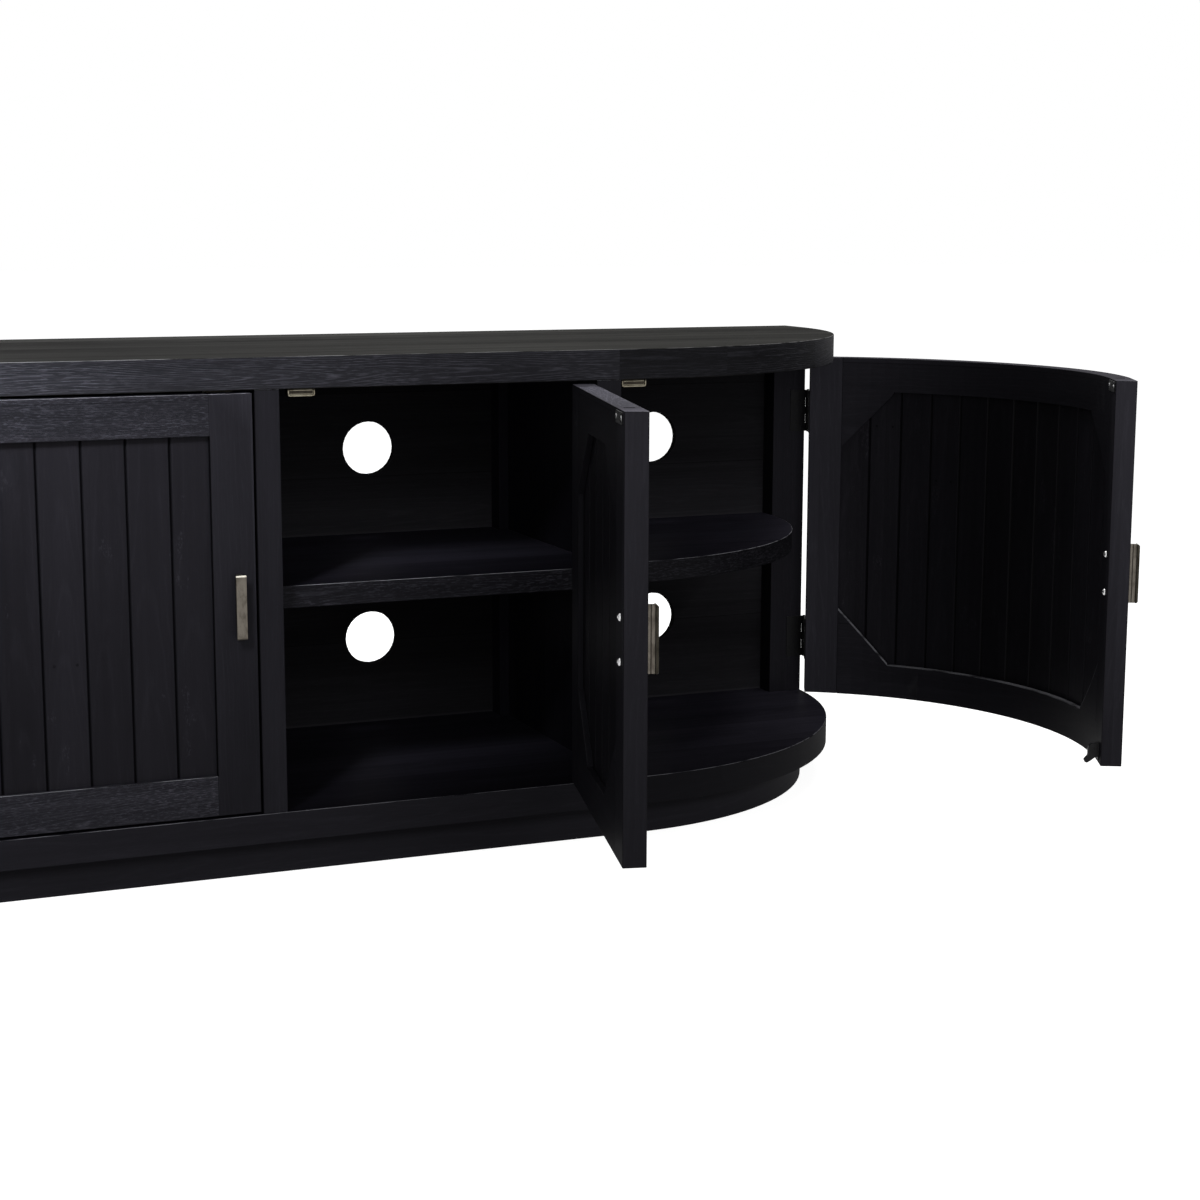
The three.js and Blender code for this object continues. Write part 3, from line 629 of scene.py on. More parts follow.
def rounded_rectangle(width, height, radius, steps=4):
    points = []
    corners = [(1, 1, 0), (-1, 1, 90), (-1, -1, 180), (1, -1, 270)]
    for sx, sz, start in corners:
        for i in range(steps + 1):
            angle = math.radians(start + 90 * i / steps)
            u = sx * (width / 2 - radius) + radius * math.cos(angle)
            v = sz * (height / 2 - radius) + radius * math.sin(angle)
            points.append((u, v))
    return points


def screw_head(made, foot, axis, radius, height):
    """A domed head with a cross recess."""
    dome = ((1, 0), (1, 0.12), (0.93, 0.45), (0.76, 0.76), (0.55, 0.93), (0.50, 0.95), (0.36, 0.45))
    profile = [(share * radius, rise * height) for share, rise in dome]
    lathe(made, foot, axis, profile, sides=32, star=6)


# ---- case

X, Y, Z = 0, 1, 2
BLOCK_ENDS = (15, 42, 69, 96)  # degrees round the end from its front, where the blocks meet
BLOCK_TONES = (0.43, 0.46, 0.72, 0.8, 0.8)
FRONT_BOARD_X = 0.460
REAR_BOARD = 7
EDGE_ACROSS = 0.1  # keeps an edge in the middle of its wide stave, away from a glue line
SHELF_EDGE_ACROSS = 0.085
# Painted shade on the bottom board's front edge and curved ends; painted light on the floors, the
# back panel, the shelves' tops and the rear posts inside; painted shade on the shelves' other faces
FRONT_EDGE_SHADE, BLOCK_EDGE_SHADE = 0.86, 0.5
CENTER_FLOOR_LIGHT, END_FLOOR_LIGHT = 1.35, 1.7
CENTER_BACK_LIGHT, END_BACK_LIGHT = 1.2, 1.1
SHELF_LIGHT_AND_SHADE = {"center_shelf": (2.05, 0.86), "end_shelf": (2.7, 0.53)}  # on top, and elsewhere
REAR_POST_LIGHT = 1.16
# Pale abrasion with a painted highlight on the arrises that look up
RIM_WEAR_AND_HIGHLIGHT = always(2.4)
POST_WEAR_AND_HIGHLIGHT = always(3.0)
SHELF_WEAR_AND_HIGHLIGHT = always(6.5)
SKIN = 0.1 * MM


def laid(node, along, across, through):
    """Place-to-grain function of a straight board, given by the axes that its grain lies on."""
    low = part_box(node)[0]
    return lambda p: (p[along], p[across] - low[across], p[through] - low[through])


def along_edge(middle, base):
    """Place-to-grain function of a board's straight edge, with heights measured from base."""
    return lambda p: (p.x, p.z - base, abs(p.y - middle.y))


def one_board(to_grain):
    return lambda normal, middle: (to_grain, 0, 0)


def back_boards(node):
    """The bores of the cable holes have the second material."""
    to_grain = laid(node, X, Z, Y)
    return lambda normal, middle: (to_grain, 0, 1 if abs(normal.y) < 0.5 else 0)


def block_of(middle):
    """Which block of a rounded end a place lies in, counted from the end's front."""
    degrees = math.degrees(math.atan2(abs(middle.x) - END_X, END_Y - middle.y))
    return sum(degrees > end for end in BLOCK_ENDS)


def rim(node, inset=0.0, edge=1):
    """Grain of a board whose edge is a front board and curved blocks, each with its own figure.
    edge is the index of the edge's material."""
    radius = END_RADIUS - inset
    base = sum(corner.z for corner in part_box(node)) / 2 - EDGE_ACROSS
    broad = laid(node, X, Y, Z)

    def grain_of(normal, middle):
        if abs(normal.z) > BROAD:
            return broad, 0, 0
        side = 1 if middle.x > 0 else -1
        if abs(middle.x) <= END_X + SKIN:
            number = 0 if abs(middle.x) < FRONT_BOARD_X else side
            if middle.y > 0:
                number = REAR_BOARD
            return along_edge(middle, base), number, edge

        def curved(p):
            angle = math.atan2(abs(p.x) - END_X, END_Y - p.y)
            reach = math.hypot(abs(p.x) - END_X, END_Y - p.y)
            return (side * (END_X + radius * angle), p.z - base, abs(radius - reach))

        return curved, side * (1 + block_of(middle)), edge

    return grain_of


def shelf(node):
    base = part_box(node)[0].z - SHELF_EDGE_ACROSS
    broad = laid(node, X, Y, Z)

    def grain_of(normal, middle):
        if abs(normal.z) > BROAD:
            return broad, 0, 0
        return along_edge(middle, base), 0, 1

    return grain_of


def at_ends(a, b):
    """Both ends lie where an upright meets the floor or ceiling of the case."""
    low, high = BOTTOM_HIGH.z, TOP_LOW.z
    return all(abs(p.z - low) < MM or abs(p.z - high) < MM for p in (a, b))


def but_front_top(a, b):
    """Sharp where an upright meets the case, but for its front edge under the top board."""
    in_front = all(p.y < FACE_Y + MM and p.z > TOP_LOW.z - MM for p in (a, b))
    return at_ends(a, b) and not in_front


def top_stain(middle, normal):
    """The blocks at the ends of the rim differ in tone from its front board."""
    if abs(normal.z) > LEVEL or middle.y > 0 or abs(middle.x) < FRONT_BOARD_X:
        return 1.0
    return BLOCK_TONES[block_of(middle)]


# Painted shade on the front edge and ends, painted light on the floors inside
def bottom_tone_and_light(middle, normal):
    if normal.z < LEVEL:
        return FRONT_EDGE_SHADE if abs(middle.x) < FRONT_BOARD_X else BLOCK_EDGE_SHADE
    return CENTER_FLOOR_LIGHT if abs(middle.x) < PARTITION_X else END_FLOOR_LIGHT


# Painted light on the back panel
def back_tone_and_light(middle, normal):
    return CENTER_BACK_LIGHT if abs(middle.x) < PARTITION_X else END_BACK_LIGHT


# Painted light: paler towards the back, darker at the front
def paler_back(place):
    return blend(place.y, FRONT_Y, BACK_Y, 0.4, 2.2)


# Painted light: paler towards the top
def paler_high(place):
    return blend(place.z, BOTTOM_HIGH.z, TOP_LOW.z, 1.0, 1.12)


# Painted light and shade: the top face darker to the left, its edges paler to the right
def top_fade(place):
    if place.z > TOP_HIGH.z - SKIN:
        return blend(place.x, -0.15, 0.3, 0.42, 1.0)
    return blend(place.x, -0.25, 0.25, 1.0, 1.28)


def floor_fade(high_z):
    """The upper face, at this height, gets painted light towards its back."""
    return lambda place: paler_back(place) if place.z > high_z - SKIN else 1.0


# Painted shadow: the plinth darker at its top under the overhang, paler at its foot
def plinth_fade(place):
    return blend(place.z, *PLINTH_FADE, 1.2, 0.6)


# Painted shade at the front of a partition, painted light towards its back
def partition_fade(place):
    return blend(place.y, FRONT_Y + 50 * MM, BACK_Y, 0.35, 1.3)


def back_fade(place):
    """Inside, the back panel gets painted light just above the floor and just above the shelves,
    and a painted highlight line along its foot."""
    if place.y > BACK_Y + MM:
        return 1.0
    upper = place.z > SHELF_HIGH_Z - MM
    level = 1.25 if upper else 0.85
    above = place.z - (SHELF_HIGH_Z if upper else BOTTOM_HIGH.z)
    if above < 0.5 * MM:
        return 4.0
    return level * blend(above, 0.0, BACK_FADE, 2.3, 1.0)


# A fade needs corners where it bends.
TOP_CUTS = cuts_at(0.3, 0.15, 0.05)
DEPTH_CUTS = [(Vector((0, y, 0)), Vector((0, 1, 0))) for y in (-0.15, -0.05, 0.05, 0.15)]
PLINTH_FADE = (BOTTOM_LOW.z * 0.5, BOTTOM_LOW.z * 0.7)
BACK_FADE = 90 * MM
FOOT_LINE = 4 * MM
BACK_CUTS = cuts_at(PARTITION_X) + level_cuts(
    BOTTOM_HIGH.z + FOOT_LINE, BOTTOM_HIGH.z + BACK_FADE,
    SHELF_HIGH_Z, SHELF_HIGH_Z + FOOT_LINE, SHELF_HIGH_Z + BACK_FADE,
)

wooden(
    "top_board", rim("top_board"), [PINE_TOP, PINE_RIM], width=1.1 * MM,
    cuts=cuts_at(FRONT_BOARD_X), wear_and_highlight_at=RIM_WEAR_AND_HIGHLIGHT, tone_and_light_of=top_stain,
    fade_at=top_fade, fade_cuts=TOP_CUTS,
)
wooden(
    "bottom_board", rim("bottom_board"), [PINE_INSIDE, PINE_SMOOTH], width=1.1 * MM,
    cuts=cuts_at(FRONT_BOARD_X, PARTITION_X), wear_and_highlight_at=RIM_WEAR_AND_HIGHLIGHT, tone_and_light_of=bottom_tone_and_light,
    fade_at=floor_fade(BOTTOM_HIGH.z), fade_cuts=DEPTH_CUTS,
)
wooden(
    "plinth_frame", rim("plinth_frame", PLINTH_RECESS, edge=0), [PINE_SMOOTH],
    fade_at=plinth_fade, fade_cuts=level_cuts(*PLINTH_FADE),
)
wooden(
    "back_panel", back_boards("back_panel"), [PINE_BACK, PINE_BORE], width=0.5 * MM,
    stays_sharp=at_ends, tone_and_light_of=back_tone_and_light, fade_at=back_fade, fade_cuts=BACK_CUTS,
)
side_uprights = [f"{side}_{kind}" for side in SIDES for kind in ("mullion", "rear_post")]
for node in ("center_mullion", *side_uprights):
    wooden(
        node, one_board(laid(node, Z, X, Y)), [PINE_SMOOTH], stays_sharp=but_front_top, width=MM,
        wear_and_highlight_at=POST_WEAR_AND_HIGHLIGHT, fade_at=paler_high,
        tone_and_light_of=lambda middle, normal: REAR_POST_LIGHT if middle.y > 0 else 1.0,
    )
for node in ("center_partition", "left_partition", "right_partition"):
    wooden(
        node, one_board(laid(node, Z, Y, X)), [PINE_INSIDE], stays_sharp=at_ends,
        fade_at=partition_fade, fade_cuts=DEPTH_CUTS,
    )
for side in SIDES:
    for kind, (above, elsewhere) in SHELF_LIGHT_AND_SHADE.items():
        node = f"{side}_{kind}"
        wooden(
            node, shelf(node), [PINE_INSIDE, PINE_RAIL], wear_and_highlight_at=SHELF_WEAR_AND_HIGHLIGHT,
            tone_and_light_of=lambda middle, normal: above if normal.z > LEVEL else elsewhere,
            fade_at=floor_fade(SHELF_HIGH_Z), fade_cuts=DEPTH_CUTS,
        )


# ---- doors

RAIL_LINES = (DOOR_LOW_Z + RAIL_WIDTH, DOOR_HIGH_Z - RAIL_WIDTH)


def laid_on(door, along, across, start=0.0, stretch=1.0):
    """Place-to-grain function of a door's piece, in the door's own coordinates."""

    def to_grain(p):
        place = door.measure(p)
        return (place[along], (place[across] - start) * stretch, place.y)

    return to_grain


def rail_grain(door):
    """The inner side of a rail has the second material."""
    to_grain = laid_on(door, X, Z)
    return lambda normal, middle: (to_grain, 0, 1 if door.measure(middle).y > INNER_DEPTH else 0)


def plank_grain(door):
    """The planks' width is fitted to the door, so their staves are stretched to match."""
    first = STILE_WIDTH - PANEL_TONGUE
    width = door.length - 2 * first
    pitch = width / round(width / PLANK_WIDTH)
    return one_board(laid_on(door, Z, X, first, PLANK_WIDTH / pitch))


def from_stile(door, s):
    """How far along the door a place lies from the nearer stile's inner edge."""
    return min(abs(s - STILE_WIDTH), abs(door.length - STILE_WIDTH - s))


def at_rail(door):
    """Keeps a stile's arris sharp where a rail butts against it."""

    def stays(a, b):
        places = [door.measure(p) for p in (a, b)]
        inner = all(from_stile(door, s) < MM for s, _, _ in places)
        middle = (places[0].z + places[1].z) / 2
        return inner and not RAIL_LINES[0] < middle < RAIL_LINES[1]

    return stays


def at_stile(door):
    """Keeps a rail's ends sharp where they butt against the stiles."""

    def stays(a, b):
        places = [door.measure(p) for p in (a, b)]
        near = all(s < STILE_WIDTH + MM for s, _, _ in places)
        return near or all(s > door.length - STILE_WIDTH - MM for s, _, _ in places)

    return stays


# Painted light and shade on a door's pieces: of a round door first, then of a flat one
DOOR_END_LIGHT = (2.35, 1.85)
DOOR_TOP_LIGHT = (2.6, 4.2)
DOOR_INNER_SHADE = {"free": (0.5, 0.78), "hinge": (0.75, 0.88), "rail": (0.57, 0.67), "plank": (0.38, 0.7)}
# Pale abrasion with a painted highlight on the upper arrises
OUTER_WEAR_AND_HIGHLIGHT = 2.2
INNER_WEAR_AND_HIGHLIGHT = ((0.3, 0.9), (0.1, 0.16))  # above the door's middle and below it
# Painted light on the bottom rail outside, and a painted shadow on the step down to the planks
BOTTOM_RAIL_LIGHT = 1.3
PANEL_STEP_SHADOW = 0.25
PANEL_STEP = 1.2 * MM
# Painted light inside a round door: its least tone, then what its free end and its hinges add
SPREAD = (1.0, 0.5, 2.4)
PLANK_SPREAD = (0.62, 3.6, 4.6)
EDGE = 0.2 * MM
STRIP = 1.1 * MM
SLANTED_STRIP = 1.4 * STRIP  # its height on a corner block's slope
# Pale abrasion with a painted highlight on a strip inside a round door
RAIL_STRIP_WEAR_AND_HIGHLIGHT, HINGE_BLOCK_WEAR_AND_HIGHLIGHT, FREE_BLOCK_WEAR_AND_HIGHLIGHT = 1.2, 1.9, 0.5


def stile_fade(door):
    """Painted light: a stile is paler towards its top outside, and more so along its free edge."""

    def fade(place):
        s, depth, z = door.measure(place)
        if s > MM:
            return paler_high(place) if depth < MM else 1.0
        return blend(z, *RAIL_LINES, 1.0, 2.0)

    return fade


def outer_wear_and_highlight(door):
    """The upper arrises get pale abrasion with a painted highlight, strongly outside and hardly on
    the inside of a flat door.
    """
    above, below = INNER_WEAR_AND_HIGHLIGHT[door.kind]

    def wear_and_highlight_of(place):
        if door.measure(place).y < INNER_DEPTH:
            return OUTER_WEAR_AND_HIGHLIGHT
        return below if place.z < DOOR_MIDDLE_Z else above

    return wear_and_highlight_of


def door_tone_and_light(door, part, outside=1.0, spread=SPREAD):
    """The tone of a face of a door's stile, rail or planks, with painted light and shade. The inner
    side gets painted shade, the upper and free edges painted light, and the step down to the
    planks a painted shadow. spread is a round door's least tone inside, and the painted light that
    its free end and its hinges add."""
    inner = DOOR_INNER_SHADE[part][door.kind]
    least, to_free, to_hinge = spread

    def tone_and_light_of(middle, normal):
        s, depth, z = door.measure(middle)
        if normal.dot(door.outward(s)) > 0.99:
            return outside
        if z > DOOR_HIGH_Z - EDGE:
            return DOOR_TOP_LIGHT[door.kind]
        slanting = 0.2 < abs(normal.z) < 0.95
        if depth > INNER_DEPTH and slanting and abs(z - DOOR_MIDDLE_Z) > RAIL_WIDTH:
            return 1.1 * inner
        if s < EDGE:
            return DOOR_END_LIGHT[door.kind]
        if from_stile(door, s) < PANEL_STEP and depth < PANEL_RECESS:
            return PANEL_STEP_SHADOW
        if depth < INNER_DEPTH:
            return 1.0
        if not door.round:
            return inner
        share = s / door.length
        return inner * (least + to_free * (1.0 - share) ** 3 + to_hinge * share ** 4)

    return tone_and_light_of


def inner_strip_wear_and_highlight(door):
    """The cuts that set off a narrow strip inside a round door, along the upper arris of its
    bottom rail and corner blocks, and the strip's pale abrasion with a painted highlight."""
    line = RAIL_LINES[0]
    slope = (GUSSET_LEG - GUSSET_TIP) / GUSSET_LEG

    def height_of(s):
        near = from_stile(door, s)
        return GUSSET_LEG - slope * near if near < GUSSET_LEG else 0.0

    planes = level_cuts(line - STRIP)
    for start, sign in ((STILE_WIDTH, 1), (door.length - STILE_WIDTH, -1)):
        ends = [
            door.place(start + sign * reach, DOOR_THICKNESS, line + height - SLANTED_STRIP)
            for reach, height in ((0.0, GUSSET_LEG), (GUSSET_LEG, GUSSET_TIP))
        ]
        middle = line + (GUSSET_LEG + GUSSET_TIP) / 2 - SLANTED_STRIP
        outside = door.place(start + sign * GUSSET_LEG / 2, 0.0, middle)
        planes.append((ends[0], (ends[1] - ends[0]).cross(outside - ends[0])))

    def wear_and_highlight_of(middle):
        s, depth, z = door.measure(middle)
        if depth < DOOR_THICKNESS - 0.3 * MM or z < line + height_of(s) - 1.5 * STRIP:
            return 0.0
        if not height_of(s):
            return RAIL_STRIP_WEAR_AND_HIGHLIGHT
        return HINGE_BLOCK_WEAR_AND_HIGHLIGHT if s > door.length / 2 else FREE_BLOCK_WEAR_AND_HIGHLIGHT

    return planes, wear_and_highlight_of


for door in DOORS:
    for part in ("free", "hinge"):
        wooden(
            f"{door.name}_{part}_stile", one_board(laid_on(door, Z, X)), [PINE_SMOOTH],
            cuts=level_cuts(*RAIL_LINES), stays_sharp=at_rail(door), wear_and_highlight_at=outer_wear_and_highlight(door),
            tone_and_light_of=door_tone_and_light(door, part), fade_at=stile_fade(door),
        )
    for rail, outside in (("top", 1.0), ("bottom", BOTTOM_RAIL_LIGHT)):
        cuts, wear_and_highlight_of = inner_strip_wear_and_highlight(door) if door.round and rail == "bottom" else ((), without_wear_and_highlight)
        wooden(
            f"{door.name}_{rail}_rail", rail_grain(door), [PINE_RAIL, PINE_SMOOTH],
            cuts=cuts, stays_sharp=at_stile(door), wear_and_highlight_at=outer_wear_and_highlight(door), strip_wear_and_highlight=wear_and_highlight_of,
            tone_and_light_of=door_tone_and_light(door, "rail", outside),
        )
    wooden(
        f"{door.name}_planks", plank_grain(door), [PINE_PLANK], width=0.0,
        tone_and_light_of=door_tone_and_light(door, "plank", spread=PLANK_SPREAD),
    )


# ---- pulls

HANDLE_HEIGHT = 79 * MM
HANDLE_WIDTH = 13 * MM
HANDLE_PLATE = 3.5 * MM
HANDLE_WEB = 6 * MM
HANDLE_PROJECTION = 15 * MM
HANDLE_FROM_EDGE = 22 * MM
HANDLE_MIDDLE_Z = DOOR_MIDDLE_Z + MM
HANDLE_END_CHAMFER = 1.8 * MM
HANDLE_GROOVE = 6.5 * MM
HANDLE_GROOVE_HALF = 0.5 * MM
HANDLE_GROOVE_DEPTH = 0.9 * MM
HANDLE_ARRIS = 0.35 * MM
SCREW_SPACING = 51 * MM
SCREW_HEAD_RADIUS = 4.5 * MM
SCREW_HEAD_HEIGHT = 3 * MM
FIT = 0.3 * MM
FIT_INTO = 0.2 * MM


def pull(door):
    """A T-shaped bar pull with a fine groove down each side of its web."""
    half, web, plate = HANDLE_WIDTH / 2, HANDLE_WEB / 2, HANDLE_PROJECTION - HANDLE_PLATE
    groove = [
        (web, -HANDLE_GROOVE - HANDLE_GROOVE_HALF),
        (web - HANDLE_GROOVE_DEPTH, -HANDLE_GROOVE),
        (web, -HANDLE_GROOVE + HANDLE_GROOVE_HALF),
    ]
    one_side = [(half, -HANDLE_PROJECTION), (half, -plate), (web, -plate), *groove, (web, -FIT)]
    section = one_side + [(-u, v) for u, v in reversed(one_side)]
    made = bmesh.new()
    low = HANDLE_MIDDLE_Z - HANDLE_HEIGHT / 2

    def to_place(u, v, w):
        return door.place(HANDLE_FROM_EDGE + u, v, w)

    extruded(made, section, to_place, low, low + HANDLE_HEIGHT)
    faced_out(made)
    ends = [
        e for e in made.edges
        if all(door.measure(v.co).y < -HANDLE_PROJECTION + 0.1 * MM for v in e.verts)
        and abs(e.verts[0].co.z - e.verts[1].co.z) < MM
    ]
    bmesh.ops.bevel(
        made, geom=ends, offset=HANDLE_END_CHAMFER, offset_type="OFFSET", segments=1,
        profile=0.5, affect="EDGES",
    )
    closed_up(made, HANDLE_ARRIS)
    outward = door.outward(HANDLE_FROM_EDGE)
    finishes = [BRASS, PAINTED_SHADE_BRASS, PAINTED_HIGHLIGHT_BRASS]
    # Painted highlight on the upper end chamfer, painted shade on the plate's sides
    for face in made.faces:
        faces_out = face.normal.dot(outward)
        beyond = door.measure(face.calc_center_median()).y < -plate
        if TILTED < faces_out < 0.95 and face.normal.z > TILTED:
            face.material_index = finishes.index(PAINTED_HIGHLIGHT_BRASS)
        elif beyond and faces_out < 0.9 and abs(face.normal.z) < 0.5:
            face.material_index = finishes.index(PAINTED_SHADE_BRASS)
    bar = shown(f"{door.name}_pull", made, door.name, finishes)
    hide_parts(f"{door.name}_handle")


def pull_screws(door):
    """The two domed screws that hold the pull from inside."""
    screws = bmesh.new()
    seat = DOOR_THICKNESS + FIT
    for z in (HANDLE_MIDDLE_Z - SCREW_SPACING / 2, HANDLE_MIDDLE_Z + SCREW_SPACING / 2):
        foot = door.place(HANDLE_FROM_EDGE, seat, z)
        tip = door.place(HANDLE_FROM_EDGE, seat + SCREW_HEAD_HEIGHT, z)
        screw_head(screws, foot, tip - foot, SCREW_HEAD_RADIUS, SCREW_HEAD_HEIGHT)
    closed_up(screws)
    shown(f"{door.name}_pull_screws", screws, door.name, [STEEL])


# ---- catches and strikes

CATCH_WALL = 1.6 * MM
CATCH_MOUTH = 3 * MM
CATCH_CORNER = 3 * MM
CATCH_ARRIS = 0.6 * MM
BAR_FROM_END = 2.6 * MM
# In a catch's mouth: the heights of its bars, and how far behind its front they start, in mm
MAGNET_BARS = ((-2.6, 0.6),), 1.6
POLE_BARS = ((0.8, 1.9), (-3.8, -2.8)), 0.9
STRIKE_WIDTH = 44 * MM
STRIKE_HEIGHT = 14 * MM
STRIKE_THICKNESS = 1.2 * MM
STRIKE_FROM_TOP = 9 * MM
STRIKE_SCREW = 17 * MM
STRIKE_HEAD_RADIUS = 3.2 * MM
STRIKE_HEAD_HEIGHT = 0.75 * MM


def catch_housing(door, low, high, to_place):
    """The rounded brass housing of a magnetic catch, with painted shade where the door's gap doesn't
    show it.
    """
    size = high - low
    outer = rounded_rectangle(size.x, size.z, CATCH_CORNER)
    inner = rounded_rectangle(
        size.x - 2 * CATCH_WALL, size.z - 2 * CATCH_WALL, CATCH_CORNER - 1.4 * MM,
    )
    made = bmesh.new()
    deep_y = low.y + CATCH_MOUTH
    rings = [
        [made.verts.new(to_place(u, v, y)) for u, v in outline]
        for outline, y in ((outer, high.y), (outer, low.y), (inner, low.y), (inner, deep_y))
    ]
    joined(made, rings)
    made.faces.new(rings[0])
    made.faces.new(rings[-1])
    closed_up(made, CATCH_ARRIS)
    # Painted shade on the housing's upper part
    top_line = high.z - DOOR_TOP_GAP - CATCH_ARRIS
    cut(made, level_cuts(top_line))
    finishes = [PALE_BRASS, PAINTED_SHADE_BRASS]
    for face in made.faces:
        if face.calc_center_median().z > top_line:
            face.material_index = finishes.index(PAINTED_SHADE_BRASS)
    housing = shown(f"{door.name}_catch_housing", made, "case", finishes)
    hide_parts(f"{door.name}_catch")


def catch(door):
    """A magnetic catch under the top: its housing round two steel plates and a magnet."""
    low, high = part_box(f"{door.name}_catch")
    middle = (low + high) / 2

    def to_place(u, v, w):
        return Vector((middle.x + u, w, middle.z + v))

    catch_housing(door, low, high, to_place)
    half = (high.x - low.x) / 2 - BAR_FROM_END
    for label, material, slot, (heights, reach) in (
        ("magnet", MAGNET, "black_iron", MAGNET_BARS),
        ("poles", PALE_BRASS, "pale_brass", POLE_BARS),
    ):
        made = bmesh.new()
        for bottom, top in heights:
            low_v, high_v = bottom * MM, top * MM
            box = [(-half, low_v), (half, low_v), (half, high_v), (-half, high_v)]
            extruded(made, box, to_place, low.y + reach * MM, low.y + CATCH_MOUTH + FIT_INTO)
        closed_up(made, FIT_INTO)
        shown(f"{door.name}_catch_{label}", made, "case", [material])
    strike(door, abs(middle.x) - door.free_x)


def strike(door, centre):
    """The black plate on a door that meets its catch, with two bright screws."""
    strike_z = DOOR_HIGH_Z - STRIKE_FROM_TOP

    def on_door(u, v, w):
        return door.place(centre + u, DOOR_THICKNESS + w, strike_z + v)

    made = bmesh.new()
    outline = rounded_rectangle(STRIKE_WIDTH, STRIKE_HEIGHT, 2 * MM)
    extruded(made, outline, on_door, 0.05 * MM, STRIKE_THICKNESS)
    closed_up(made, 0.25 * MM)
    shown(f"{door.name}_strike_plate", made, door.name, [IRON])
    made = bmesh.new()
    for offset in (-STRIKE_SCREW, STRIKE_SCREW):
        foot = on_door(offset, 0.0, STRIKE_THICKNESS - 0.05 * MM)
        tip = on_door(offset, 0.0, STRIKE_THICKNESS + 0.95 * MM)
        screw_head(made, foot, tip - foot, STRIKE_HEAD_RADIUS, STRIKE_HEAD_HEIGHT)
    closed_up(made)
    shown(f"{door.name}_strike_screws", made, door.name, [STEEL])


# ---- hinges

HINGE_HEIGHT = 63 * MM
LEAF_REACH = 29.5 * MM
LEAF_THICKNESS = 1.3 * MM
LEAF_OFFSET = 0.35 * MM
KNUCKLES = 5
KNUCKLE_RADIUS = 3.8 * MM
PIN_RADIUS = 1.7 * MM
PIN_TIP = 1.2 * MM
LEAF_FROM_PIN = 0.6 * MM
KNUCKLE_ARRIS = 0.5 * MM
LEAF_SCREWS = ((0.16, 20 * MM), (0.5, 14 * MM), (0.84, 20 * MM))  # share of height, reach


def knuckle(made, foot, height):
    inner = KNUCKLE_RADIUS - KNUCKLE_ARRIS
    profile = [
        (inner, 0.0), (KNUCKLE_RADIUS, KNUCKLE_ARRIS),
        (KNUCKLE_RADIUS, height - KNUCKLE_ARRIS), (inner, height),
    ]
    lathe(made, foot, UP, profile)


def hinge_pin(made, foot):
    height = HINGE_HEIGHT + 2 * PIN_TIP
    tip = [(PIN_RADIUS * 0.5, 0.0), (PIN_RADIUS * 0.87, 0.4 * MM), (PIN_RADIUS, 0.9 * MM)]
    profile = tip + [(radius, height - z) for radius, z in reversed(tip)]
    lathe(made, foot, UP, profile)


def leaf_screw(made, foot, tip):
    """A countersunk screw that ends flush with the leaf, with a cross recess."""
    profile = [
        (3.0 * MM, 0.0), (3.0 * MM, 0.42 * MM), (2.8 * MM, 0.5 * MM),
        (1.7 * MM, 0.5 * MM), (1.2 * MM, 0.1 * MM),
    ]
    lathe(made, foot, tip - foot, profile, star=4)


def hinge_leaf(door, node, on_door):
    """Half of a butt hinge: a plate cut back round the other half's knuckles, its own knuckles,
    three flush screws, and the pin on the case's half."""
    low_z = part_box(node)[0].z + (0.0 if on_door else PIN_TIP)
    step = HINGE_HEIGHT / KNUCKLES
    to_door = Vector((0, -1, 0)) if door.round else Vector((-door.side, 0, 0))
    inward = Vector((-door.side, 0, 0)) if door.round else Vector((0, 1, 0))
    facing = 1 if on_door else -1
    turn = door.turn if on_door else 0.0
    # The case's half has the first, middle and last knuckle.
    own = [i for i in range(KNUCKLES) if (i % 2 == 1) == on_door]

    def to_place(reach, z, depth):
        point = door.pin + to_door * (facing * depth) + inward * reach
        return door.turned(Vector((point.x, point.y, z)), turn)

    comb = [(LEAF_REACH, low_z), (LEAF_REACH, low_z + HINGE_HEIGHT)]
    for i in reversed(range(KNUCKLES)):
        reach = LEAF_FROM_PIN if i in own else KNUCKLE_RADIUS + FIT
        comb.append((reach, low_z + (i + 1) * step))
        comb.append((reach, low_z + i * step))
    made = bmesh.new()
    extruded(made, comb, to_place, LEAF_OFFSET, LEAF_OFFSET + LEAF_THICKNESS)
    closed_up(made, FIT_INTO)
    for i in own:
        knuckle(made, to_place(0.0, low_z + i * step + FIT / 2, 0.0), step - FIT)
    if not on_door:
        hinge_pin(made, to_place(0.0, low_z - PIN_TIP, 0.0))
    for share, reach in LEAF_SCREWS:
        z = low_z + share * HINGE_HEIGHT
        foot = to_place(reach, z, LEAF_OFFSET + 0.4 * MM)
        leaf_screw(made, foot, to_place(reach, z, LEAF_OFFSET - 0.1 * MM))
    faced_out(made)
    leaf = shown(f"{node}_iron", made, door.name if on_door else "case", [IRON])
    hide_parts(node)


# ---- elbow catch of a round door

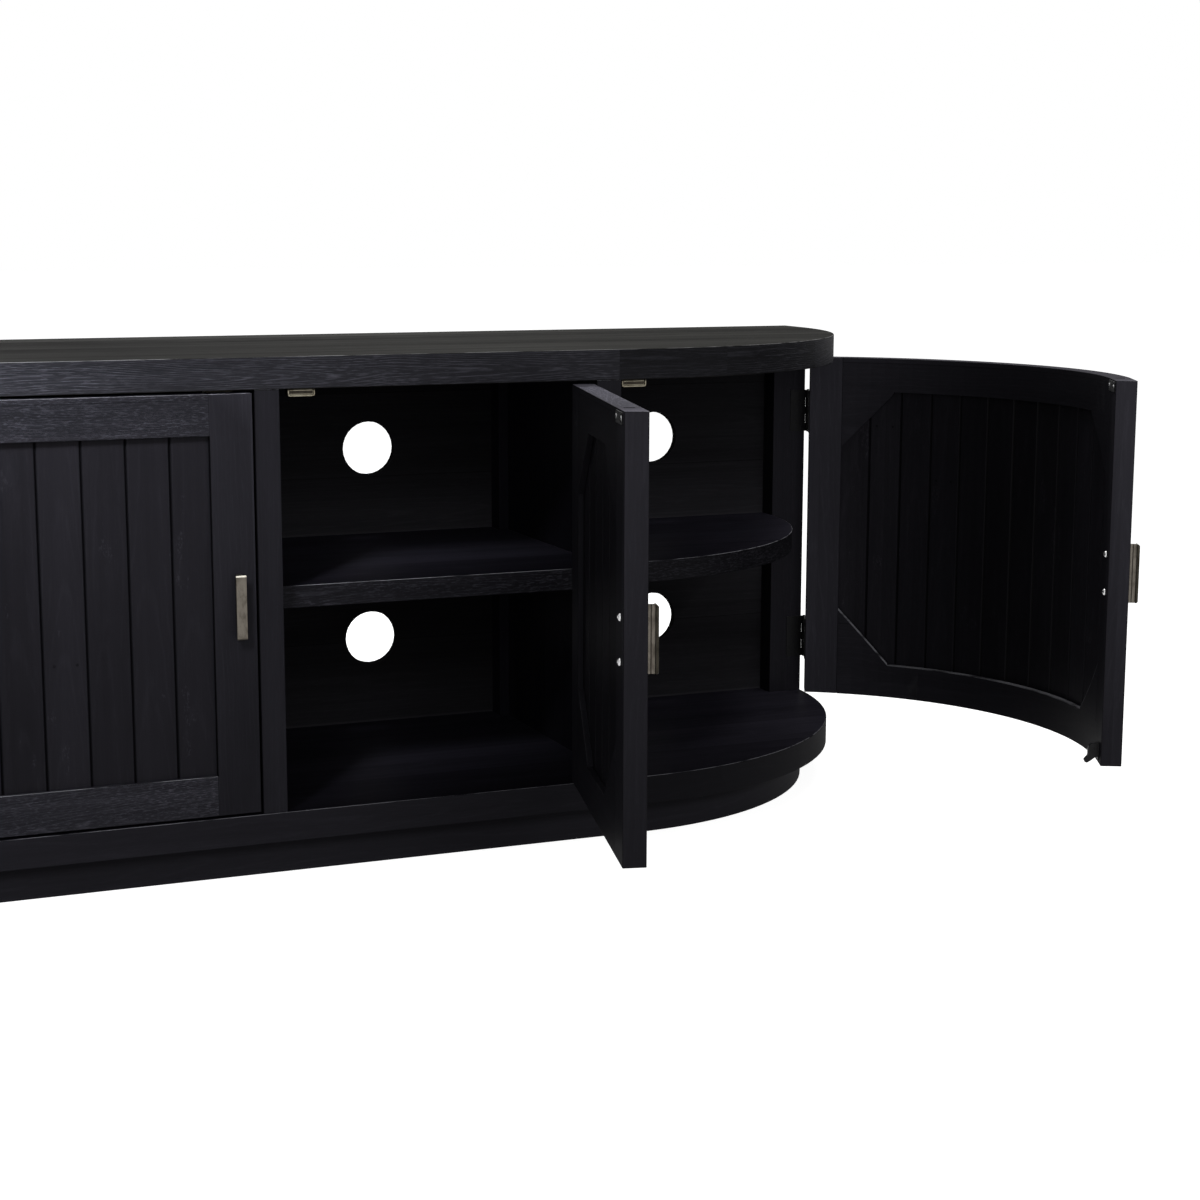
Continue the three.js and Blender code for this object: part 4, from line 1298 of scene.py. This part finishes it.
ELBOW_FROM_EDGE = 21 * MM
ELBOW_LOW_Z = 95 * MM
ELBOW_PLATE = ((0.0, 0.0), (1.6, 0.0), (1.6, 23.0), (0.0, 23.0))  # in mm, like the arm and pin
ELBOW_PLATE_HALF = 6 * MM
ELBOW_ARM = (
    (1.0, 4.0), (5.0, 3.0), (8.0, 0.5), (12.0, -2.5), (15.5, -4.5), (18.4, -3.6), (19.4, -0.8),
    (17.6, 1.8), (15.0, 4.5), (14.4, 8.0), (14.8, 14.0), (13.2, 18.6), (9.5, 21.5), (1.0, 22.5),
)
ELBOW_ARM_HALF = 4.5 * MM
ELBOW_PIN = (7.5 * MM, 14 * MM)
ELBOW_PIN_HALF = 5 * MM
ELBOW_PIN_PROFILE = ((1.6, 0.0), (2.0, 0.4), (2.0, 9.6), (1.6, 10.0))


def in_metres(points):
    return [(u * MM, v * MM) for u, v in points]


def elbow_catch(door):
    """The small black fitting low on the inside of a round door's free stile."""
    made = bmesh.new()

    def to_place(u, v, w):
        return door.place(ELBOW_FROM_EDGE + w, DOOR_THICKNESS + u, ELBOW_LOW_Z + v)

    for outline, half in ((ELBOW_PLATE, ELBOW_PLATE_HALF), (ELBOW_ARM, ELBOW_ARM_HALF)):
        extruded(made, in_metres(outline), to_place, -half, half)
    closed_up(made, 0.6 * MM)
    foot = to_place(*ELBOW_PIN, -ELBOW_PIN_HALF)
    tip = to_place(*ELBOW_PIN, ELBOW_PIN_HALF)
    lathe(made, foot, tip - foot, in_metres(ELBOW_PIN_PROFILE))
    faced_out(made)
    shown(f"{door.name}_elbow_catch", made, door.name, [IRON])


for door in DOORS:
    pull(door)
    pull_screws(door)
    catch(door)
    for place in ("upper", "lower"):
        hinge_leaf(door, f"{door.name}_{place}_hinge_case_leaf", False)
        hinge_leaf(door, f"{door.name}_{place}_hinge_door_leaf", True)
    if door.round:
        elbow_catch(door)


# ---- floor, light and camera

WHITE = (1.0, 1.0, 1.0, 1.0)
FLOOR_GREY = (0.5, 0.5, 0.5, 1.0)
FLOOR_GLOW = 0.93
FLOOR_REACH = 30.0
AMBIENT = 0.3


def seen_rays(t):
    """1 for rays that show the background: straight from the camera, mirrored or let through."""
    path = t.add("LightPath").outputs
    seen = t.math("MAXIMUM", path["Is Camera Ray"], path["Is Glossy Ray"])
    return t.math("MAXIMUM", seen, path["Is Transmission Ray"])


def floor():
    t = Shader("studio_floor")
    diffuse = t.add("BsdfDiffuse", {"Color": FLOOR_GREY})
    glow = t.times(seen_rays(t), FLOOR_GLOW)
    light = t.add("Emission", {"Color": WHITE, "Strength": glow})
    both = t.add("AddShader", [diffuse.outputs[0], light.outputs[0]])
    t.add("OutputMaterial", [both.outputs[0]])
    mesh = bpy.data.meshes.new("studio_floor")
    corners = [(x * FLOOR_REACH, y * FLOOR_REACH, 0) for x, y in ((-1, -1), (1, -1), (1, 1), (-1, 1))]
    mesh.from_pydata(corners, [], [(0, 1, 2, 3)])
    mesh.materials.append(t.owner)
    ground = bpy.data.objects.new("studio_floor", mesh)
    put_in_scene(ground)


def world():
    t = Shader("studio", bpy.data.worlds)
    strength = t.remap(seen_rays(t), 0.0, 1.0, AMBIENT, 1.0, "LINEAR")
    sky = t.add("Background", {"Color": WHITE, "Strength": strength})
    t.add("OutputWorld", [sky.outputs[0]])
    SCENE.world = t.owner


def softbox(name, place, target, width, height, power, colour, spread=180):
    """A rectangular lamp that looks from a place at a target; spread is in degrees."""
    data = bpy.data.lights.new(name, "AREA")
    data.shape = "RECTANGLE"
    data.size = width
    data.size_y = height
    data.energy = power
    data.color = colour
    data.spread = math.radians(spread)
    lamp = bpy.data.objects.new(name, data)
    lamp.location = place
    lamp.rotation_euler = (Vector(target) - Vector(place)).to_track_quat("-Z", "Y").to_euler()
    put_in_scene(lamp)


LENS = 67.93
CAMERA_PLACE = (-0.6822, -2.9074, 0.8194)
CAMERA_TURN = (22.74, 9.67, 0.16)  # degrees of yaw to the right, pitch down and roll


def camera():
    data = bpy.data.cameras.new("camera")
    data.sensor_width = 36.0
    data.lens = LENS
    data.clip_end = 100.0
    holder = bpy.data.objects.new("camera", data)
    yaw, pitch, roll = (math.radians(degrees) for degrees in CAMERA_TURN)
    turned = Matrix.Rotation(-yaw, 4, "Z")
    tilted = Matrix.Rotation(math.pi / 2 - pitch, 4, "X")
    rolled = Matrix.Rotation(roll, 4, "Z")
    place = Matrix.Translation(CAMERA_PLACE)
    holder.matrix_world = place @ turned @ tilted @ rolled
    put_in_scene(holder)
    SCENE.camera = holder


floor()
world()
softbox(
    "key", place=(-1.4, -1.4, 2.2), target=(-0.8, 0.3, 1.15), width=1.0, height=1.0,
    power=56.0, colour=(0.95, 0.97, 1.0), spread=50,
)
softbox(
    "fill", place=(-0.1, -3.4, 1.1), target=(0.1, -0.2, 0.3), width=3.2, height=1.2,
    power=27.0, colour=(1.0, 1.0, 1.0),
)
softbox(
    "top", place=(1.0, 0.3, 3.0), target=(0.7, 0.0, 0.0), width=2.2, height=1.6,
    power=52.0, colour=(1.0, 0.99, 0.96),
)
camera()
SCENE.view_settings.view_transform = "Standard"
